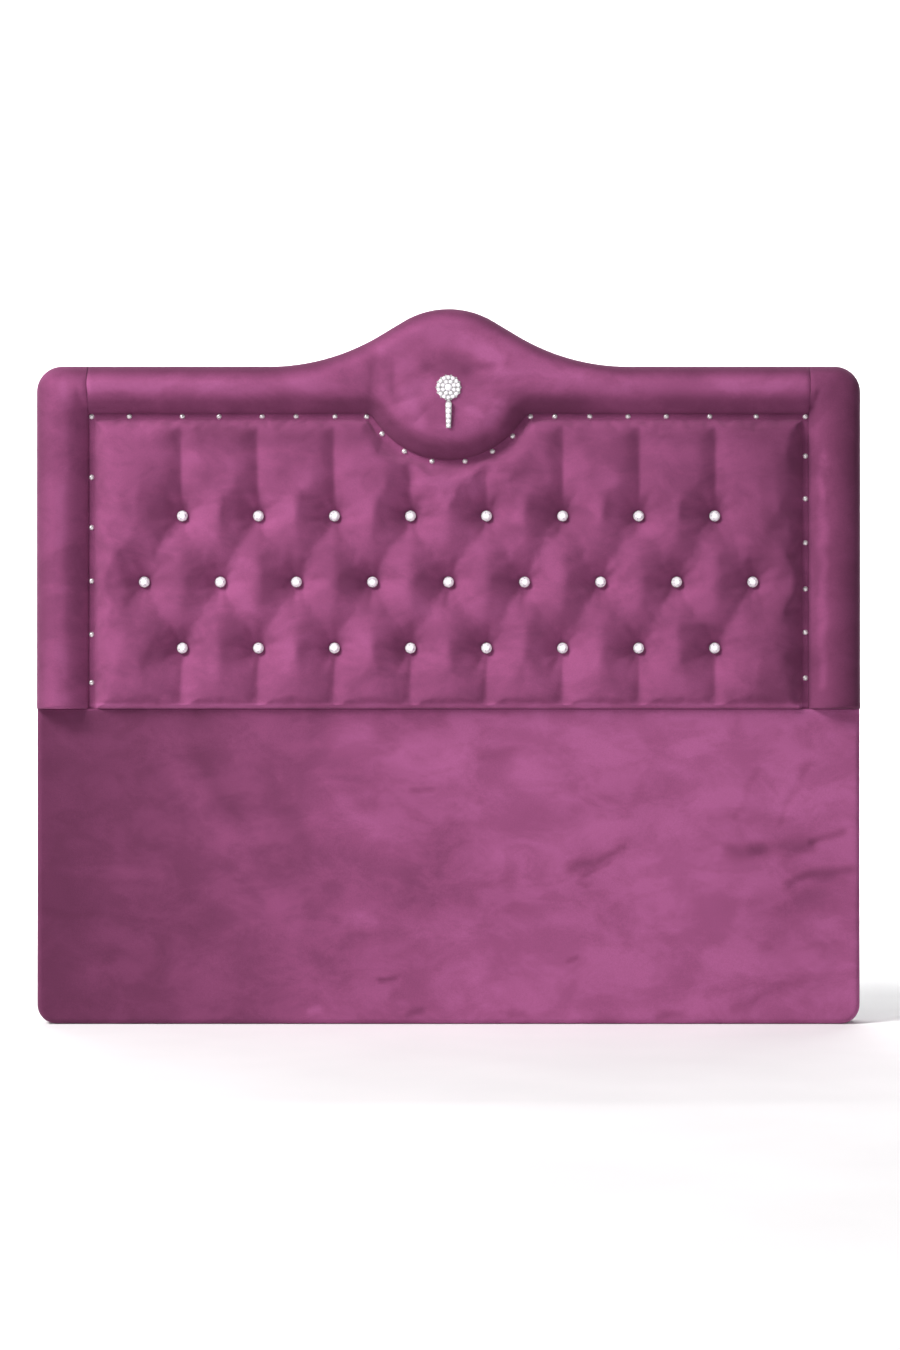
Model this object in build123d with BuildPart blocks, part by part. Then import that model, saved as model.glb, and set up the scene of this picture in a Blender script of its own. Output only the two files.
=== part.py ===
"""Upholstered queen-size headboard, in millimetres.

X runs to the right of someone who looks at the front, Z is up and the front faces -Y.
The origin is on the floor, under the middle of the headboard's box.
Depths are measured from the back of the headboard towards its front.
"""

import math
import os

from build123d import *

# Outline
width = 1600.0
shoulder_height = 1278.0
crest_rise = 112.0
crest_half_length = 350.0
crest_apex_radius = 170.0
crest_foot_radius = 420.0
top_corner_radius = 50.0
foot_corner_radius = 38.0
seam_height = 613.0

# Cloth, clearances and the overrun of cuts
velvet = 1.5
soft_gap = 0.3
overrun = 5.0
touch = 0.05

# Back: closing cloth and its staples
dust_cloth = 0.8
dust_inset = 12.0
staple_wire = 0.7
staple_width = 1.2
staple_crown = 10.0
staple_leg = 8.0
staple_inset = 22.0
side_staples = 9
foot_staples = 9
shoulder_staples = 4
crest_staples = 3
velvet_margin = 28.0

# Timber frame
frame_depth = 40.0
stile_width = 95.0
rail_height = 70.0
top_rail_height = 88.0
block_leg = 110.0
crest_block_half = 285.0
dowel_radius = 5.0
dowel_length = 60.0
dowel_spacing = 40.0

# Bolts from the bed frame
bolt_radius = 4.5
bolt_low_height = 240.0
bolt_spacing = 64.0
bolt_inset = 60.0
nut_flange_radius = 11.0
nut_flange = 1.6
nut_barrel_radius = 5.2
nut_barrel = 14.0
nut_bore_radius = 3.4
bolt_window_radius = 14.0

# Plywood face and its screws
board = 9.0
washer_window_radius = 14.0
screw_radius = 2.0
screw_head_radius = 4.2
screw_head = 2.8
board_screw_length = 34.0
core_screw_length = 41.0
unit_screw_length = 13.0
unit_head = 2.4
rail_screw_shares = (-0.66, -0.33, 0.0, 0.33, 0.66)
crest_screw_shares = (-0.86, -0.5, -0.2, 0.2, 0.5, 0.86)

# Border: core, foam and how far it rises above the plywood face
border_width = 100.0
core = 12.0
border_rise = 62.0
border_round = 38.0
underside_height = 1187.0
lobe_radius = 171.0
lobe_centre_height = 1268.0
lobe_fillet = 20.0

# Tufted unit
base_board = 6.0
strip_depth = 16.0
strip_width = 10.2
pillow_rise = 30.0
button_pitch = 148.0
row_pitch = 128.5
middle_row_height = 859.5
row_counts = (8, 9, 8)
dimple_foam = 9.0
dimple_floor_radius = 12.5
dimple_mouth_radius = 33.0
dimple_rise = 36.0
lobe_steps = 4

# Each pillow's sections: share of its outline, then share of its rise
pillow_shares = ((0.985, 0.0), (0.90, 0.42), (0.74, 0.76), (0.50, 0.94), (0.26, 1.0))
crown_shares = (0.5, 0.46)

# Buttons, twine and washers
button_radius = 10.5
cup_wall = 0.8
cup_depth = 3.0
crystal_rise = 7.0
crystal_sides = 8
crystal_shares = ((0.86, 0.0), (0.98, 0.36), (0.56, 1.0))
twine_radius = 1.0
twine_hole_radius = 1.4
knot_radius = 2.4
washer_radius = 9.0
washer = 1.5

# Nails along the joint
nail_head_radius = 5.25
nail_head = 3.6
nail_shank_radius = 1.1
nail_shank = 14.0
nail_line = 6.0
left_top_nail_shares = (0.894, 0.746, 0.643, 0.522, 0.427, 0.318)
right_top_nail_shares = (0.298, 0.396, 0.503, 0.610, 0.732, 0.862)
left_side_nail_shares = (0.792, 0.620, 0.437, 0.254, 0.089)
right_side_nail_shares = (0.865, 0.719, 0.568, 0.410, 0.261, 0.105)
lobe_nail_angles = (223, 241, 259.5, 280.5, 299, 315)
fillet_nail_angle = 100

# Lower panel
lower_foam_depth = 30.0
lower_round = 12.0

# Rosette and its drop
brooch_height = 1234.0
brooch_radius = 23.0
brooch_plate = 1.6
brooch_sink = 3.0
brooch_dimple_radius = 48.0
brooch_seat_radius = 31.0
scallop_radius = 2.2
stud_radius = 1.5
stud_bite = 8.0
outer_stones = 14
outer_stone_radius = 3.9
outer_ring_radius = 19.6
inner_stones = 8
inner_stone_radius = 3.8
inner_ring_radius = 11.4
stone_rise = 3.2
centre_stone_radius = 6.8
centre_stone_rise = 4.6
stone_shares = ((0.90, 0.0), (1.0, 0.35), (0.58, 1.0))
lug_radius = 3.2
lug_reach = 26.5
pin_radius = 1.0
pin_clearance = 0.1
pin_head_radius = 1.8
pin_head = 0.6
pin_play = 0.2
drop_clearance = 0.8
drop_bar = 1.6
drop_length = 52.2
drop_top_width = 12.4
drop_end_width = 9.4
drop_eye_radius = 2.9
drop_stone_radii = (5.4, 5.1, 4.8, 4.4, 4.0)
drop_stone_gap = 0.2
drop_stone_rise = 2.8
drop_first_stone = 8.5

# Depth of each layer's back, from the back of the headboard
dust_back = staple_wire
margin_back = dust_back + dust_cloth
frame_back = margin_back + velvet
board_back = frame_back + frame_depth
pad_back = board_back + board
strip_back = pad_back + base_board
valley = strip_back + strip_depth
border_front = pad_back + border_rise
lower_front = pad_back + lower_foam_depth
velvet_front = border_front + velvet
drop_back = velvet_front + drop_clearance
headboard_depth = drop_back + drop_bar + drop_stone_rise
half_depth = headboard_depth / 2

# Places worked out from the sizes above
half_width = width / 2
inner_half = half_width - border_width
stile_inner = half_width - velvet - stile_width
unit_half = inner_half - soft_gap
unit_inside = unit_half - velvet
pillow_half = unit_inside - strip_width
unit_foot = seam_height + soft_gap
unit_foot_inside = unit_foot + velvet
pillow_top = underside_height - soft_gap - velvet - strip_width
apex_centre_height = shoulder_height + crest_rise - crest_apex_radius
hollow_centre_height = shoulder_height + crest_foot_radius
centre_drop = hollow_centre_height - apex_centre_height
crest_lean = math.asin(
    (crest_apex_radius + crest_foot_radius) / math.hypot(crest_half_length, centre_drop)
) - math.atan2(centre_drop, crest_half_length)
crest_lean_degrees = math.degrees(crest_lean)
nail_half = inner_half - nail_line
nail_top = underside_height - nail_line
TO_FRONT = (90, 0, 0)
TO_BACK = (-90, 0, 0)
FROM_BASE = (Align.CENTER, Align.CENTER, Align.MIN)


def layer(depth):
    """The upright plane at a depth, which looks to the front."""
    return Plane.XZ.offset(depth - half_depth)


def place(across, depth, height):
    """A point from its place across, its depth and its height."""
    return (across, half_depth - depth, height)


def outline(inset):
    """The outline of the whole headboard, drawn in all round."""
    with BuildSketch() as shape:
        with BuildLine():
            crown = CenterArc(
                (0, apex_centre_height), crest_apex_radius - inset, 90, -crest_lean_degrees
            )
            hollow = CenterArc(
                (crest_half_length, hollow_centre_height),
                crest_foot_radius + inset,
                270 - crest_lean_degrees,
                crest_lean_degrees,
            )
            corner = CenterArc(
                (half_width - top_corner_radius, shoulder_height - top_corner_radius),
                top_corner_radius - inset,
                90,
                -90,
            )
            foot = CenterArc(
                (half_width - foot_corner_radius, foot_corner_radius),
                foot_corner_radius - inset,
                0,
                -90,
            )
            Line(crown @ 1, hollow @ 0)
            Line(hollow @ 1, corner @ 0)
            Line(corner @ 1, foot @ 0)
            Line(foot @ 1, (0, inset))
            mirror(about=Plane.YZ)
        make_face()
    return shape.sketch


def window(left, right, low, high, mode):
    """A rectangle from its four sides, in the sketch that is being drawn."""
    with Locations(((left + right) / 2, (low + high) / 2)):
        Rectangle(right - left, high - low, mode=mode)


def cut_outline(inset, left, right, low, high):
    """The part of the headboard's outline that lies in a window."""
    with BuildSketch() as shape:
        add(outline(inset))
        window(left, right, low, high, Mode.INTERSECT)
    return shape.sketch


def crest_region(growth, inset, half_length):
    """The top border with its crest and its round lobe, grown along its underside."""
    underside = underside_height - growth
    with BuildSketch() as shape:
        window(-half_length, half_length, underside, shoulder_height + crest_rise, Mode.ADD)
        with Locations((0, lobe_centre_height)):
            Circle(lobe_radius + growth)
        add(outline(inset), mode=Mode.INTERSECT)
        corners = shape.vertices().filter_by_position(Axis.Y, underside - touch, underside + touch)
        corners = corners.filter_by_position(Axis.X, -lobe_radius - growth, lobe_radius + growth)
        fillet(corners, lobe_fillet - growth)
    return shape.sketch


def unit_region(half_length, foot, growth):
    """The tufted unit's face, under the top border and between the side borders."""
    with BuildSketch() as shape:
        window(-half_length, half_length, foot, underside_height - growth, Mode.ADD)
        add(crest_region(growth, velvet, inner_half), mode=Mode.SUBTRACT)
    return shape.sketch


def row_places():
    """The buttons' places across and up, row by row from the top."""
    rows = []
    for row, count in enumerate(row_counts):
        height = middle_row_height + (1 - row) * row_pitch
        rows.append([((n - (count - 1) / 2) * button_pitch, height) for n in range(count)])
    return rows


def lobe_edge(across):
    """The height of the pillows' top edge at a place across."""
    radius = lobe_radius + underside_height - pillow_top
    if abs(across) >= radius:
        return pillow_top
    return min(pillow_top, lobe_centre_height - math.sqrt(radius**2 - across**2))


def pillow_cells():
    """Each pillow's corners: pleated ones above and below the diamonds between them."""
    top_row, middle_row, low_row = row_places()
    cells = []
    for left, right, top, low in zip(middle_row, middle_row[1:], top_row, low_row):
        cells.append([left, low, right, top])
    tops = [(-pillow_half, top_row[0][1]), *top_row, (pillow_half, top_row[0][1])]
    lows = [(-pillow_half, low_row[0][1]), *low_row, (pillow_half, low_row[0][1])]
    for n, button in enumerate(middle_row):
        (left, top), (right, _) = tops[n], tops[n + 1]
        low = lows[n][1]
        start = (left, button[1] if n == 0 else top)
        end = (right, button[1] if n == len(middle_row) - 1 else top)
        steps = [right + (left - right) * step / lobe_steps for step in range(lobe_steps + 1)]
        edge = [(across, lobe_edge(across)) for across in steps]
        cells.append([start, button, end, *edge])
        start = (left, button[1] if n == 0 else low)
        end = (right, button[1] if n == len(middle_row) - 1 else low)
        cells.append([end, button, start, (left, unit_foot_inside), (right, unit_foot_inside)])
    return cells


def tufted_block(back, face, region):
    """The tufted pad as one solid, from its back to its valleys' depth and the pillows on it."""
    with BuildPart() as block:
        with BuildSketch(layer(back)):
            add(region)
        extrude(amount=face - back)
        pillows = []
        for cell in pillow_cells():
            low_x, high_x = min(x for x, _ in cell), max(x for x, _ in cell)
            low_z, high_z = min(z for _, z in cell), max(z for _, z in cell)
            crown_x = low_x + (high_x - low_x) * crown_shares[0]
            crown_z = low_z + (high_z - low_z) * crown_shares[1]
            for size_share, rise_share in pillow_shares:
                section = [
                    (crown_x + (x - crown_x) * size_share, crown_z + (z - crown_z) * size_share)
                    for x, z in cell
                ]
                with BuildSketch(layer(face + pillow_rise * rise_share)):
                    Polygon(*section)
            pillows.append(loft(ruled=True, mode=Mode.PRIVATE))
        add(pillows)
        dimple_depth = face - strip_depth + dimple_foam
        with Locations(*[place(x, dimple_depth, z) for row in row_places() for x, z in row]):
            Cone(
                dimple_floor_radius,
                dimple_mouth_radius,
                dimple_rise,
                rotation=TO_FRONT,
                align=FROM_BASE,
                mode=Mode.SUBTRACT,
            )
            Cylinder(
                twine_hole_radius,
                face,
                rotation=TO_BACK,
                align=FROM_BASE,
                mode=Mode.SUBTRACT,
            )
    return block.part


def padded_block(region, back, front, rounding, open_sides):
    """A padded border: its region brought forward, with its front edges rounded over."""
    with BuildPart() as block:
        with BuildSketch(layer(back)):
            add(region)
        extrude(amount=front - back)
        rim = block.faces().sort_by(Axis.Y)[0].edges()
        for axis, position in open_sides:
            rim = rim - rim.filter_by_position(axis, position - touch, position + touch)
        fillet(rim, rounding)
    return block.part


def group(shape, places):
    """Copies of one small piece, each a solid of its own."""
    with BuildPart() as copies:
        with Locations(*places):
            add(shape)
    return copies.part


def finish(shape, name):
    """Label a finished piece and write it."""
    shape.label = name
    export_step(shape, f"parts/{name}.step")


os.makedirs("parts", exist_ok=True)

button_spots = [spot for row in row_places() for spot in row]

# Small pieces that repeat, each made once about the origin with its tip to the back
with BuildPart() as screw_shape:
    Cone(screw_head_radius, screw_radius, screw_head, rotation=TO_BACK, align=FROM_BASE)
    Cylinder(screw_radius, board_screw_length, rotation=TO_BACK, align=FROM_BASE)

with BuildPart() as long_screw_shape:
    Cone(screw_head_radius, screw_radius, screw_head, rotation=TO_BACK, align=FROM_BASE)
    Cylinder(screw_radius, core_screw_length, rotation=TO_BACK, align=FROM_BASE)

with BuildPart() as unit_screw_shape:
    Cylinder(screw_head_radius, unit_head, rotation=TO_BACK, align=FROM_BASE)
    Cylinder(screw_radius, unit_screw_length, rotation=TO_FRONT, align=FROM_BASE)

with BuildPart() as staple_shape:
    Box(staple_crown, staple_wire, staple_width, align=(Align.CENTER, Align.MAX, Align.CENTER))
    leg_offset = (staple_crown - staple_wire) / 2
    with Locations((-leg_offset, 0, 0), (leg_offset, 0, 0)):
        Box(
            staple_wire,
            staple_wire + staple_leg,
            staple_width,
            align=(Align.CENTER, Align.MAX, Align.CENTER),
        )

with BuildPart() as nail_shape:
    dome_radius = (nail_head_radius**2 + nail_head**2) / (2 * nail_head)
    dome_angle = math.asin(nail_head_radius / dome_radius) / 2
    dome_middle = (
        dome_radius * math.sin(dome_angle),
        dome_radius - nail_head - dome_radius * math.cos(dome_angle),
    )
    with BuildSketch():
        with BuildLine():
            Line((0, -nail_head), (0, 0))
            Line((0, 0), (nail_head_radius, 0))
            ThreePointArc((nail_head_radius, 0), dome_middle, (0, -nail_head))
        make_face()
    revolve(axis=Axis.Y)
    Cylinder(nail_shank_radius, nail_shank, rotation=TO_BACK, align=FROM_BASE)

# Where the fasteners go
middle_low = seam_height - rail_height / 2
middle_high = seam_height + rail_height / 2
top_rail_high = shoulder_height - velvet
top_rail_low = top_rail_high - top_rail_height
stile_middle = stile_inner + stile_width / 2
side_screw_heights = (
    rail_height,
    (rail_height + middle_low) / 2,
    middle_high,
    (middle_high + top_rail_low) / 2,
)
board_screw_spots = [(side * stile_middle, z) for side in (-1, 1) for z in side_screw_heights]
for rail_middle in (rail_height / 2, seam_height - rail_height / 4):
    for share in rail_screw_shares:
        board_screw_spots.append((share * stile_inner, rail_middle))
core_screw_spots = [
    (side * (half_width - border_width / 2), height)
    for side in (-1, 1)
    for height in (
        middle_high + rail_height,
        middle_row_height,
        top_rail_low - rail_height,
        shoulder_height - border_width / 2,
    )
]
core_screw_spots += [
    (share * inner_half, shoulder_height - border_width / 2) for share in crest_screw_shares
]
unit_screw_spots = [
    (across * button_pitch, middle_row_height + up * row_pitch / 2)
    for across in (-3, -1, 1, 3)
    for up in (-1, 1)
]
bolt_spots = [
    (side * (half_width - bolt_inset), bolt_low_height + up)
    for side in (-1, 1)
    for up in (0, bolt_spacing)
]

# Fastener groups
board_screws = group(screw_shape.part, [place(x, pad_back, z) for x, z in board_screw_spots])
finish(board_screws, "board_screws")

core_screws = group(
    long_screw_shape.part, [place(x, pad_back + core, z) for x, z in core_screw_spots]
)
finish(core_screws, "core_screws")

unit_screws = group(
    unit_screw_shape.part, [place(x, board_back, z) for x, z in unit_screw_spots]
)
finish(unit_screws, "unit_screws")

with BuildPart() as frame_dowels:
    rail_ends = [
        (side * stile_inner, middle)
        for side in (-1, 1)
        for middle in (rail_height / 2, seam_height, (top_rail_low + top_rail_high) / 2)
    ]
    centre_ends = [rail_height, middle_low, middle_high, top_rail_low]
    frame_middle = frame_back + frame_depth / 2
    offsets = (-dowel_spacing / 2, dowel_spacing / 2)
    with Locations(*[place(x, frame_middle, z + o) for x, z in rail_ends for o in offsets]):
        Cylinder(dowel_radius, dowel_length, rotation=(0, 90, 0))
    with Locations(*[place(o, frame_middle, z) for z in centre_ends for o in offsets]):
        Cylinder(dowel_radius, dowel_length)
finish(frame_dowels.part, "frame_dowels")


def crest_height(across):
    """The height of the headboard's top edge at a place across."""
    across = abs(across)
    if across < crest_apex_radius * math.sin(crest_lean):
        return apex_centre_height + math.sqrt(crest_apex_radius**2 - across**2)
    from_foot = crest_half_length - across
    return hollow_centre_height - math.sqrt(crest_foot_radius**2 - from_foot**2)


def spread(low, high, count):
    """Evenly spaced places from low to high, both included."""
    return [low + (high - low) * n / (count - 1) for n in range(count)]


staple_side = half_width - staple_inset
side_heights = spread(border_width, shoulder_height - border_width, side_staples)
staple_places = [
    Location(place(side * staple_side, 0, z), (0, 90, 0)) for side in (-1, 1) for z in side_heights
]
for across in spread(-inner_half, inner_half, foot_staples):
    staple_places.append(Location(place(across, 0, staple_inset)))
crest_foot = crest_half_length + border_width / 2
for across in spread(crest_foot, staple_side - staple_inset, shoulder_staples):
    for side in (-1, 1):
        staple_places.append(Location(place(side * across, 0, shoulder_height - staple_inset)))
crest_step = crest_apex_radius / 2
for across in spread(-crest_step, crest_step, crest_staples):
    staple_places.append(Location(place(across, 0, crest_height(across) - staple_inset)))
cover_staples = group(staple_shape.part, staple_places)
finish(cover_staples, "cover_staples")

# Nails: corners, straights, sides, and round the lobe with one in each of its fillets
nail_radius = lobe_radius + nail_line
nail_fillet = lobe_fillet - nail_line
fillet_centre_height = nail_top - nail_fillet
fillet_centre = math.sqrt(
    (nail_radius + nail_fillet) ** 2 - (lobe_centre_height - fillet_centre_height) ** 2
)
nail_spots = [(-nail_half, nail_top), (nail_half, nail_top)]
nail_spots += [(-share * nail_half, nail_top) for share in left_top_nail_shares]
nail_spots += [(share * nail_half, nail_top) for share in right_top_nail_shares]
nail_run = nail_top - seam_height
nail_spots += [(-nail_half, seam_height + share * nail_run) for share in left_side_nail_shares]
nail_spots += [(nail_half, seam_height + share * nail_run) for share in right_side_nail_shares]
for angle in lobe_nail_angles:
    turn = math.radians(angle)
    nail_spots.append(
        (nail_radius * math.cos(turn), lobe_centre_height + nail_radius * math.sin(turn))
    )
fillet_turn = math.radians(fillet_nail_angle)
fillet_across = fillet_centre + nail_fillet * math.cos(fillet_turn)
fillet_up = fillet_centre_height + nail_fillet * math.sin(fillet_turn)
nail_spots += [(-fillet_across, fillet_up), (fillet_across, fillet_up)]
decorative_nails = group(nail_shape.part, [place(x, valley + velvet, z) for x, z in nail_spots])
finish(decorative_nails, "decorative_nails")

# Timber frame
bolt_holes = group(
    Cylinder(bolt_radius, frame_depth, rotation=TO_FRONT, align=FROM_BASE),
    [place(x, frame_back, z) for x, z in bolt_spots],
)
with BuildPart() as nut_blanks:
    with Locations(*[place(x, board_back, z) for x, z in bolt_spots]):
        Cylinder(nut_flange_radius, nut_flange, rotation=TO_BACK, align=FROM_BASE)
        Cylinder(nut_barrel_radius, nut_barrel, rotation=TO_BACK, align=FROM_BASE)
with BuildPart() as bed_bolt_nuts:
    add(nut_blanks.part)
    with Locations(*[place(x, board_back, z) for x, z in bolt_spots]):
        Cylinder(nut_bore_radius, nut_barrel, rotation=TO_BACK, align=FROM_BASE, mode=Mode.SUBTRACT)
finish(bed_bolt_nuts.part, "bed_bolt_nuts")

fixings = (
    frame_dowels.part,
    board_screws,
    core_screws,
    cover_staples,
    bolt_holes,
    nut_blanks.part,
)
half_rail = rail_height / 2
timber_windows = {
    "left_stile": (-half_width, -stile_inner, 0, shoulder_height),
    "right_stile": (stile_inner, half_width, 0, shoulder_height),
    "bottom_rail": (-stile_inner, stile_inner, 0, rail_height),
    "middle_rail": (-stile_inner, stile_inner, middle_low, middle_high),
    "top_rail": (-stile_inner, stile_inner, top_rail_low, top_rail_high),
    "lower_centre_stile": (-half_rail, half_rail, rail_height, middle_low),
    "upper_centre_stile": (-half_rail, half_rail, middle_high, top_rail_low),
    "crest_block": (
        -crest_block_half,
        crest_block_half,
        top_rail_high,
        shoulder_height + crest_rise,
    ),
}
for name, sides in timber_windows.items():
    with BuildPart() as timber:
        with BuildSketch(layer(frame_back)):
            add(cut_outline(velvet, *sides))
        extrude(amount=frame_depth)
        for fixing in fixings:
            add(fixing, mode=Mode.SUBTRACT)
    finish(timber.part, name)

with BuildPart() as corner_blocks:
    with BuildSketch(layer(frame_back)):
        for side in (-1, 1):
            inner = side * stile_inner
            for height, up in ((rail_height, 1), (top_rail_low, -1)):
                Polygon(
                    (inner, height),
                    (inner - side * block_leg, height),
                    (inner, height + up * block_leg),
                )
    extrude(amount=frame_depth)
    add(frame_dowels.part, mode=Mode.SUBTRACT)
finish(corner_blocks.part, "corner_blocks")

# Plywood face
with BuildPart() as back_board:
    with BuildSketch(layer(board_back)):
        add(outline(velvet))
        with Locations(*button_spots):
            Circle(washer_window_radius, mode=Mode.SUBTRACT)
    extrude(amount=board)
    for fixing in (board_screws, core_screws, unit_screws):
        add(fixing, mode=Mode.SUBTRACT)
finish(back_board.part, "back_board")

# Tufted unit
unit_growth = soft_gap + velvet
unit_outside = unit_region(unit_half, unit_foot, soft_gap)
unit_core = unit_region(unit_inside, unit_foot_inside, unit_growth)
pillow_region = unit_region(pillow_half, unit_foot_inside, unit_growth + strip_width)

with BuildPart() as tufted_base_board:
    with BuildSketch(layer(pad_back)):
        add(unit_core)
        with Locations(*button_spots):
            Circle(twine_hole_radius, mode=Mode.SUBTRACT)
    extrude(amount=base_board)
    add(unit_screws, mode=Mode.SUBTRACT)
finish(tufted_base_board.part, "tufted_base_board")

strip_windows = {
    "tacking_strip_left": (-inner_half, -pillow_half),
    "tacking_strip_right": (pillow_half, inner_half),
    "tacking_strip_top": (-pillow_half, pillow_half),
}
for name, (left, right) in strip_windows.items():
    with BuildPart() as tacking_strip:
        with BuildSketch(layer(strip_back)):
            add(unit_core)
            add(pillow_region, mode=Mode.SUBTRACT)
            window(left, right, 0, shoulder_height, Mode.INTERSECT)
        extrude(amount=strip_depth)
        add(decorative_nails, mode=Mode.SUBTRACT)
    finish(tacking_strip.part, name)

inside_block = tufted_block(pad_back, valley, unit_core)
with BuildPart() as tufted_foam:
    add(inside_block)
    with BuildSketch(layer(strip_back)):
        add(pillow_region)
    extrude(amount=headboard_depth, mode=Mode.INTERSECT)
finish(tufted_foam.part, "tufted_foam")

with BuildPart() as tufted_velvet_cover:
    add(tufted_block(pad_back, valley + velvet, unit_outside))
    add(inside_block, mode=Mode.SUBTRACT)
    add(decorative_nails, mode=Mode.SUBTRACT)
finish(tufted_velvet_cover.part, "tufted_velvet_cover")

# Buttons and what pulls them in
button_floor = valley + velvet - strip_depth + dimple_foam
with BuildPart() as cup_shape:
    Cylinder(button_radius, cup_depth, rotation=TO_FRONT, align=FROM_BASE)
    with Locations((0, -cup_wall, 0)):
        Cylinder(
            button_radius - cup_wall,
            cup_depth,
            rotation=TO_FRONT,
            align=FROM_BASE,
            mode=Mode.SUBTRACT,
        )
button_cups = group(cup_shape.part, [place(x, button_floor, z) for x, z in button_spots])
finish(button_cups, "button_cups")


def cut_stone(radius, rise, sides, shares):
    """One faceted stone about the origin, its back on the plane and its face to the front."""
    with BuildPart() as stone:
        for radius_share, rise_share in shares:
            with BuildSketch(Plane.XZ.offset(rise * rise_share)):
                RegularPolygon(radius * radius_share, sides)
        loft(ruled=True)
    return stone.part


crystal_height = cup_depth - cup_wall + crystal_rise
crystal_shape = cut_stone(
    button_radius - cup_wall, crystal_height, crystal_sides, crystal_shares
)
button_crystals = group(
    crystal_shape, [place(x, button_floor + cup_wall, z) for x, z in button_spots]
)
finish(button_crystals, "button_crystals")

with BuildPart() as twine_shape:
    twine_length = button_floor - pad_back + washer + knot_radius
    Cylinder(twine_radius, twine_length, rotation=TO_BACK, align=FROM_BASE)
    with Locations((0, twine_length, 0)):
        Sphere(knot_radius)
tufting_twines = group(twine_shape.part, [place(x, button_floor, z) for x, z in button_spots])
finish(tufting_twines, "tufting_twines")

with BuildPart() as washer_shape:
    Cylinder(washer_radius, washer, rotation=TO_BACK, align=FROM_BASE)
    Cylinder(
        twine_hole_radius, washer, rotation=TO_BACK, align=FROM_BASE, mode=Mode.SUBTRACT
    )
tufting_washers = group(washer_shape.part, [place(x, pad_back, z) for x, z in button_spots])
finish(tufting_washers, "tufting_washers")

# Side borders
border_top = shoulder_height + crest_rise


def border_pad(side):
    """The inside of one side border's outline, under its cover."""
    if side > 0:
        return cut_outline(velvet, inner_half + velvet, half_width, unit_foot_inside, border_top)
    return cut_outline(velvet, -half_width, -inner_half - velvet, unit_foot_inside, border_top)


for side, name in ((-1, "left"), (1, "right")):
    foot_open = [(Axis.Z, unit_foot_inside)]
    with BuildPart() as bolster_core:
        with BuildSketch(layer(pad_back)):
            add(border_pad(side))
        extrude(amount=core)
        add(core_screws, mode=Mode.SUBTRACT)
    finish(bolster_core.part, f"{name}_bolster_core")

    with BuildPart() as bolster_foam:
        add(
            padded_block(
                border_pad(side), pad_back + core, border_front, border_round - velvet, foot_open
            )
        )
    finish(bolster_foam.part, f"{name}_bolster_foam")

    left, right = sorted((side * inner_half, side * half_width))
    rear_left, rear_right = sorted((side * (inner_half - overrun), side * half_width))
    margin_left, margin_right = sorted(
        (side * (inner_half - overrun), side * (half_width - velvet_margin))
    )
    with BuildPart() as bolster_cover:
        add(
            padded_block(
                cut_outline(0, left, right, unit_foot, border_top),
                margin_back,
                velvet_front,
                border_round,
                [(Axis.Z, unit_foot)],
            )
        )
        add(
            padded_block(
                border_pad(side), pad_back, border_front, border_round - velvet, foot_open
            ),
            mode=Mode.SUBTRACT,
        )
        with BuildSketch(layer(frame_back)):
            add(cut_outline(velvet, rear_left, rear_right, seam_height - overrun, border_top))
        extrude(amount=pad_back - frame_back, mode=Mode.SUBTRACT)
        with BuildSketch(layer(margin_back)):
            window(
                margin_left,
                margin_right,
                seam_height - overrun,
                shoulder_height - velvet_margin,
                Mode.ADD,
            )
        extrude(amount=frame_back - margin_back, mode=Mode.SUBTRACT)
        add(cover_staples, mode=Mode.SUBTRACT)
    finish(bolster_cover.part, f"{name}_bolster_cover")

# Top border with the crest and the lobe
crest_half = inner_half - soft_gap
crest_pad_half = crest_half - velvet
crest_pad = crest_region(-velvet, velvet, crest_pad_half)
crest_pad_ends = [(Axis.X, -crest_pad_half), (Axis.X, crest_pad_half)]
stud_length = border_front - brooch_sink + velvet - pad_back - core + stud_bite


def brooch_seat(face):
    """The dimple under the rosette with the hole of its stud, cut from a face."""
    with BuildPart() as seat:
        with Locations(place(0, face - brooch_sink, brooch_height)):
            Cone(
                brooch_seat_radius,
                2 * brooch_dimple_radius - brooch_seat_radius,
                2 * brooch_sink,
                rotation=TO_FRONT,
                align=FROM_BASE,
            )
        with Locations(place(0, velvet_front - brooch_sink, brooch_height)):
            Cylinder(stud_radius, stud_length, rotation=TO_BACK, align=FROM_BASE)
    return seat.part


with BuildPart() as crest_core:
    with BuildSketch(layer(pad_back)):
        add(crest_pad)
    extrude(amount=core)
    add(core_screws, mode=Mode.SUBTRACT)
    add(brooch_seat(border_front), mode=Mode.SUBTRACT)
finish(crest_core.part, "crest_core")

with BuildPart() as crest_foam:
    add(
        padded_block(
            crest_pad, pad_back + core, border_front, border_round - velvet, crest_pad_ends
        )
    )
    add(brooch_seat(border_front), mode=Mode.SUBTRACT)
finish(crest_foam.part, "crest_foam")

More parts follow.
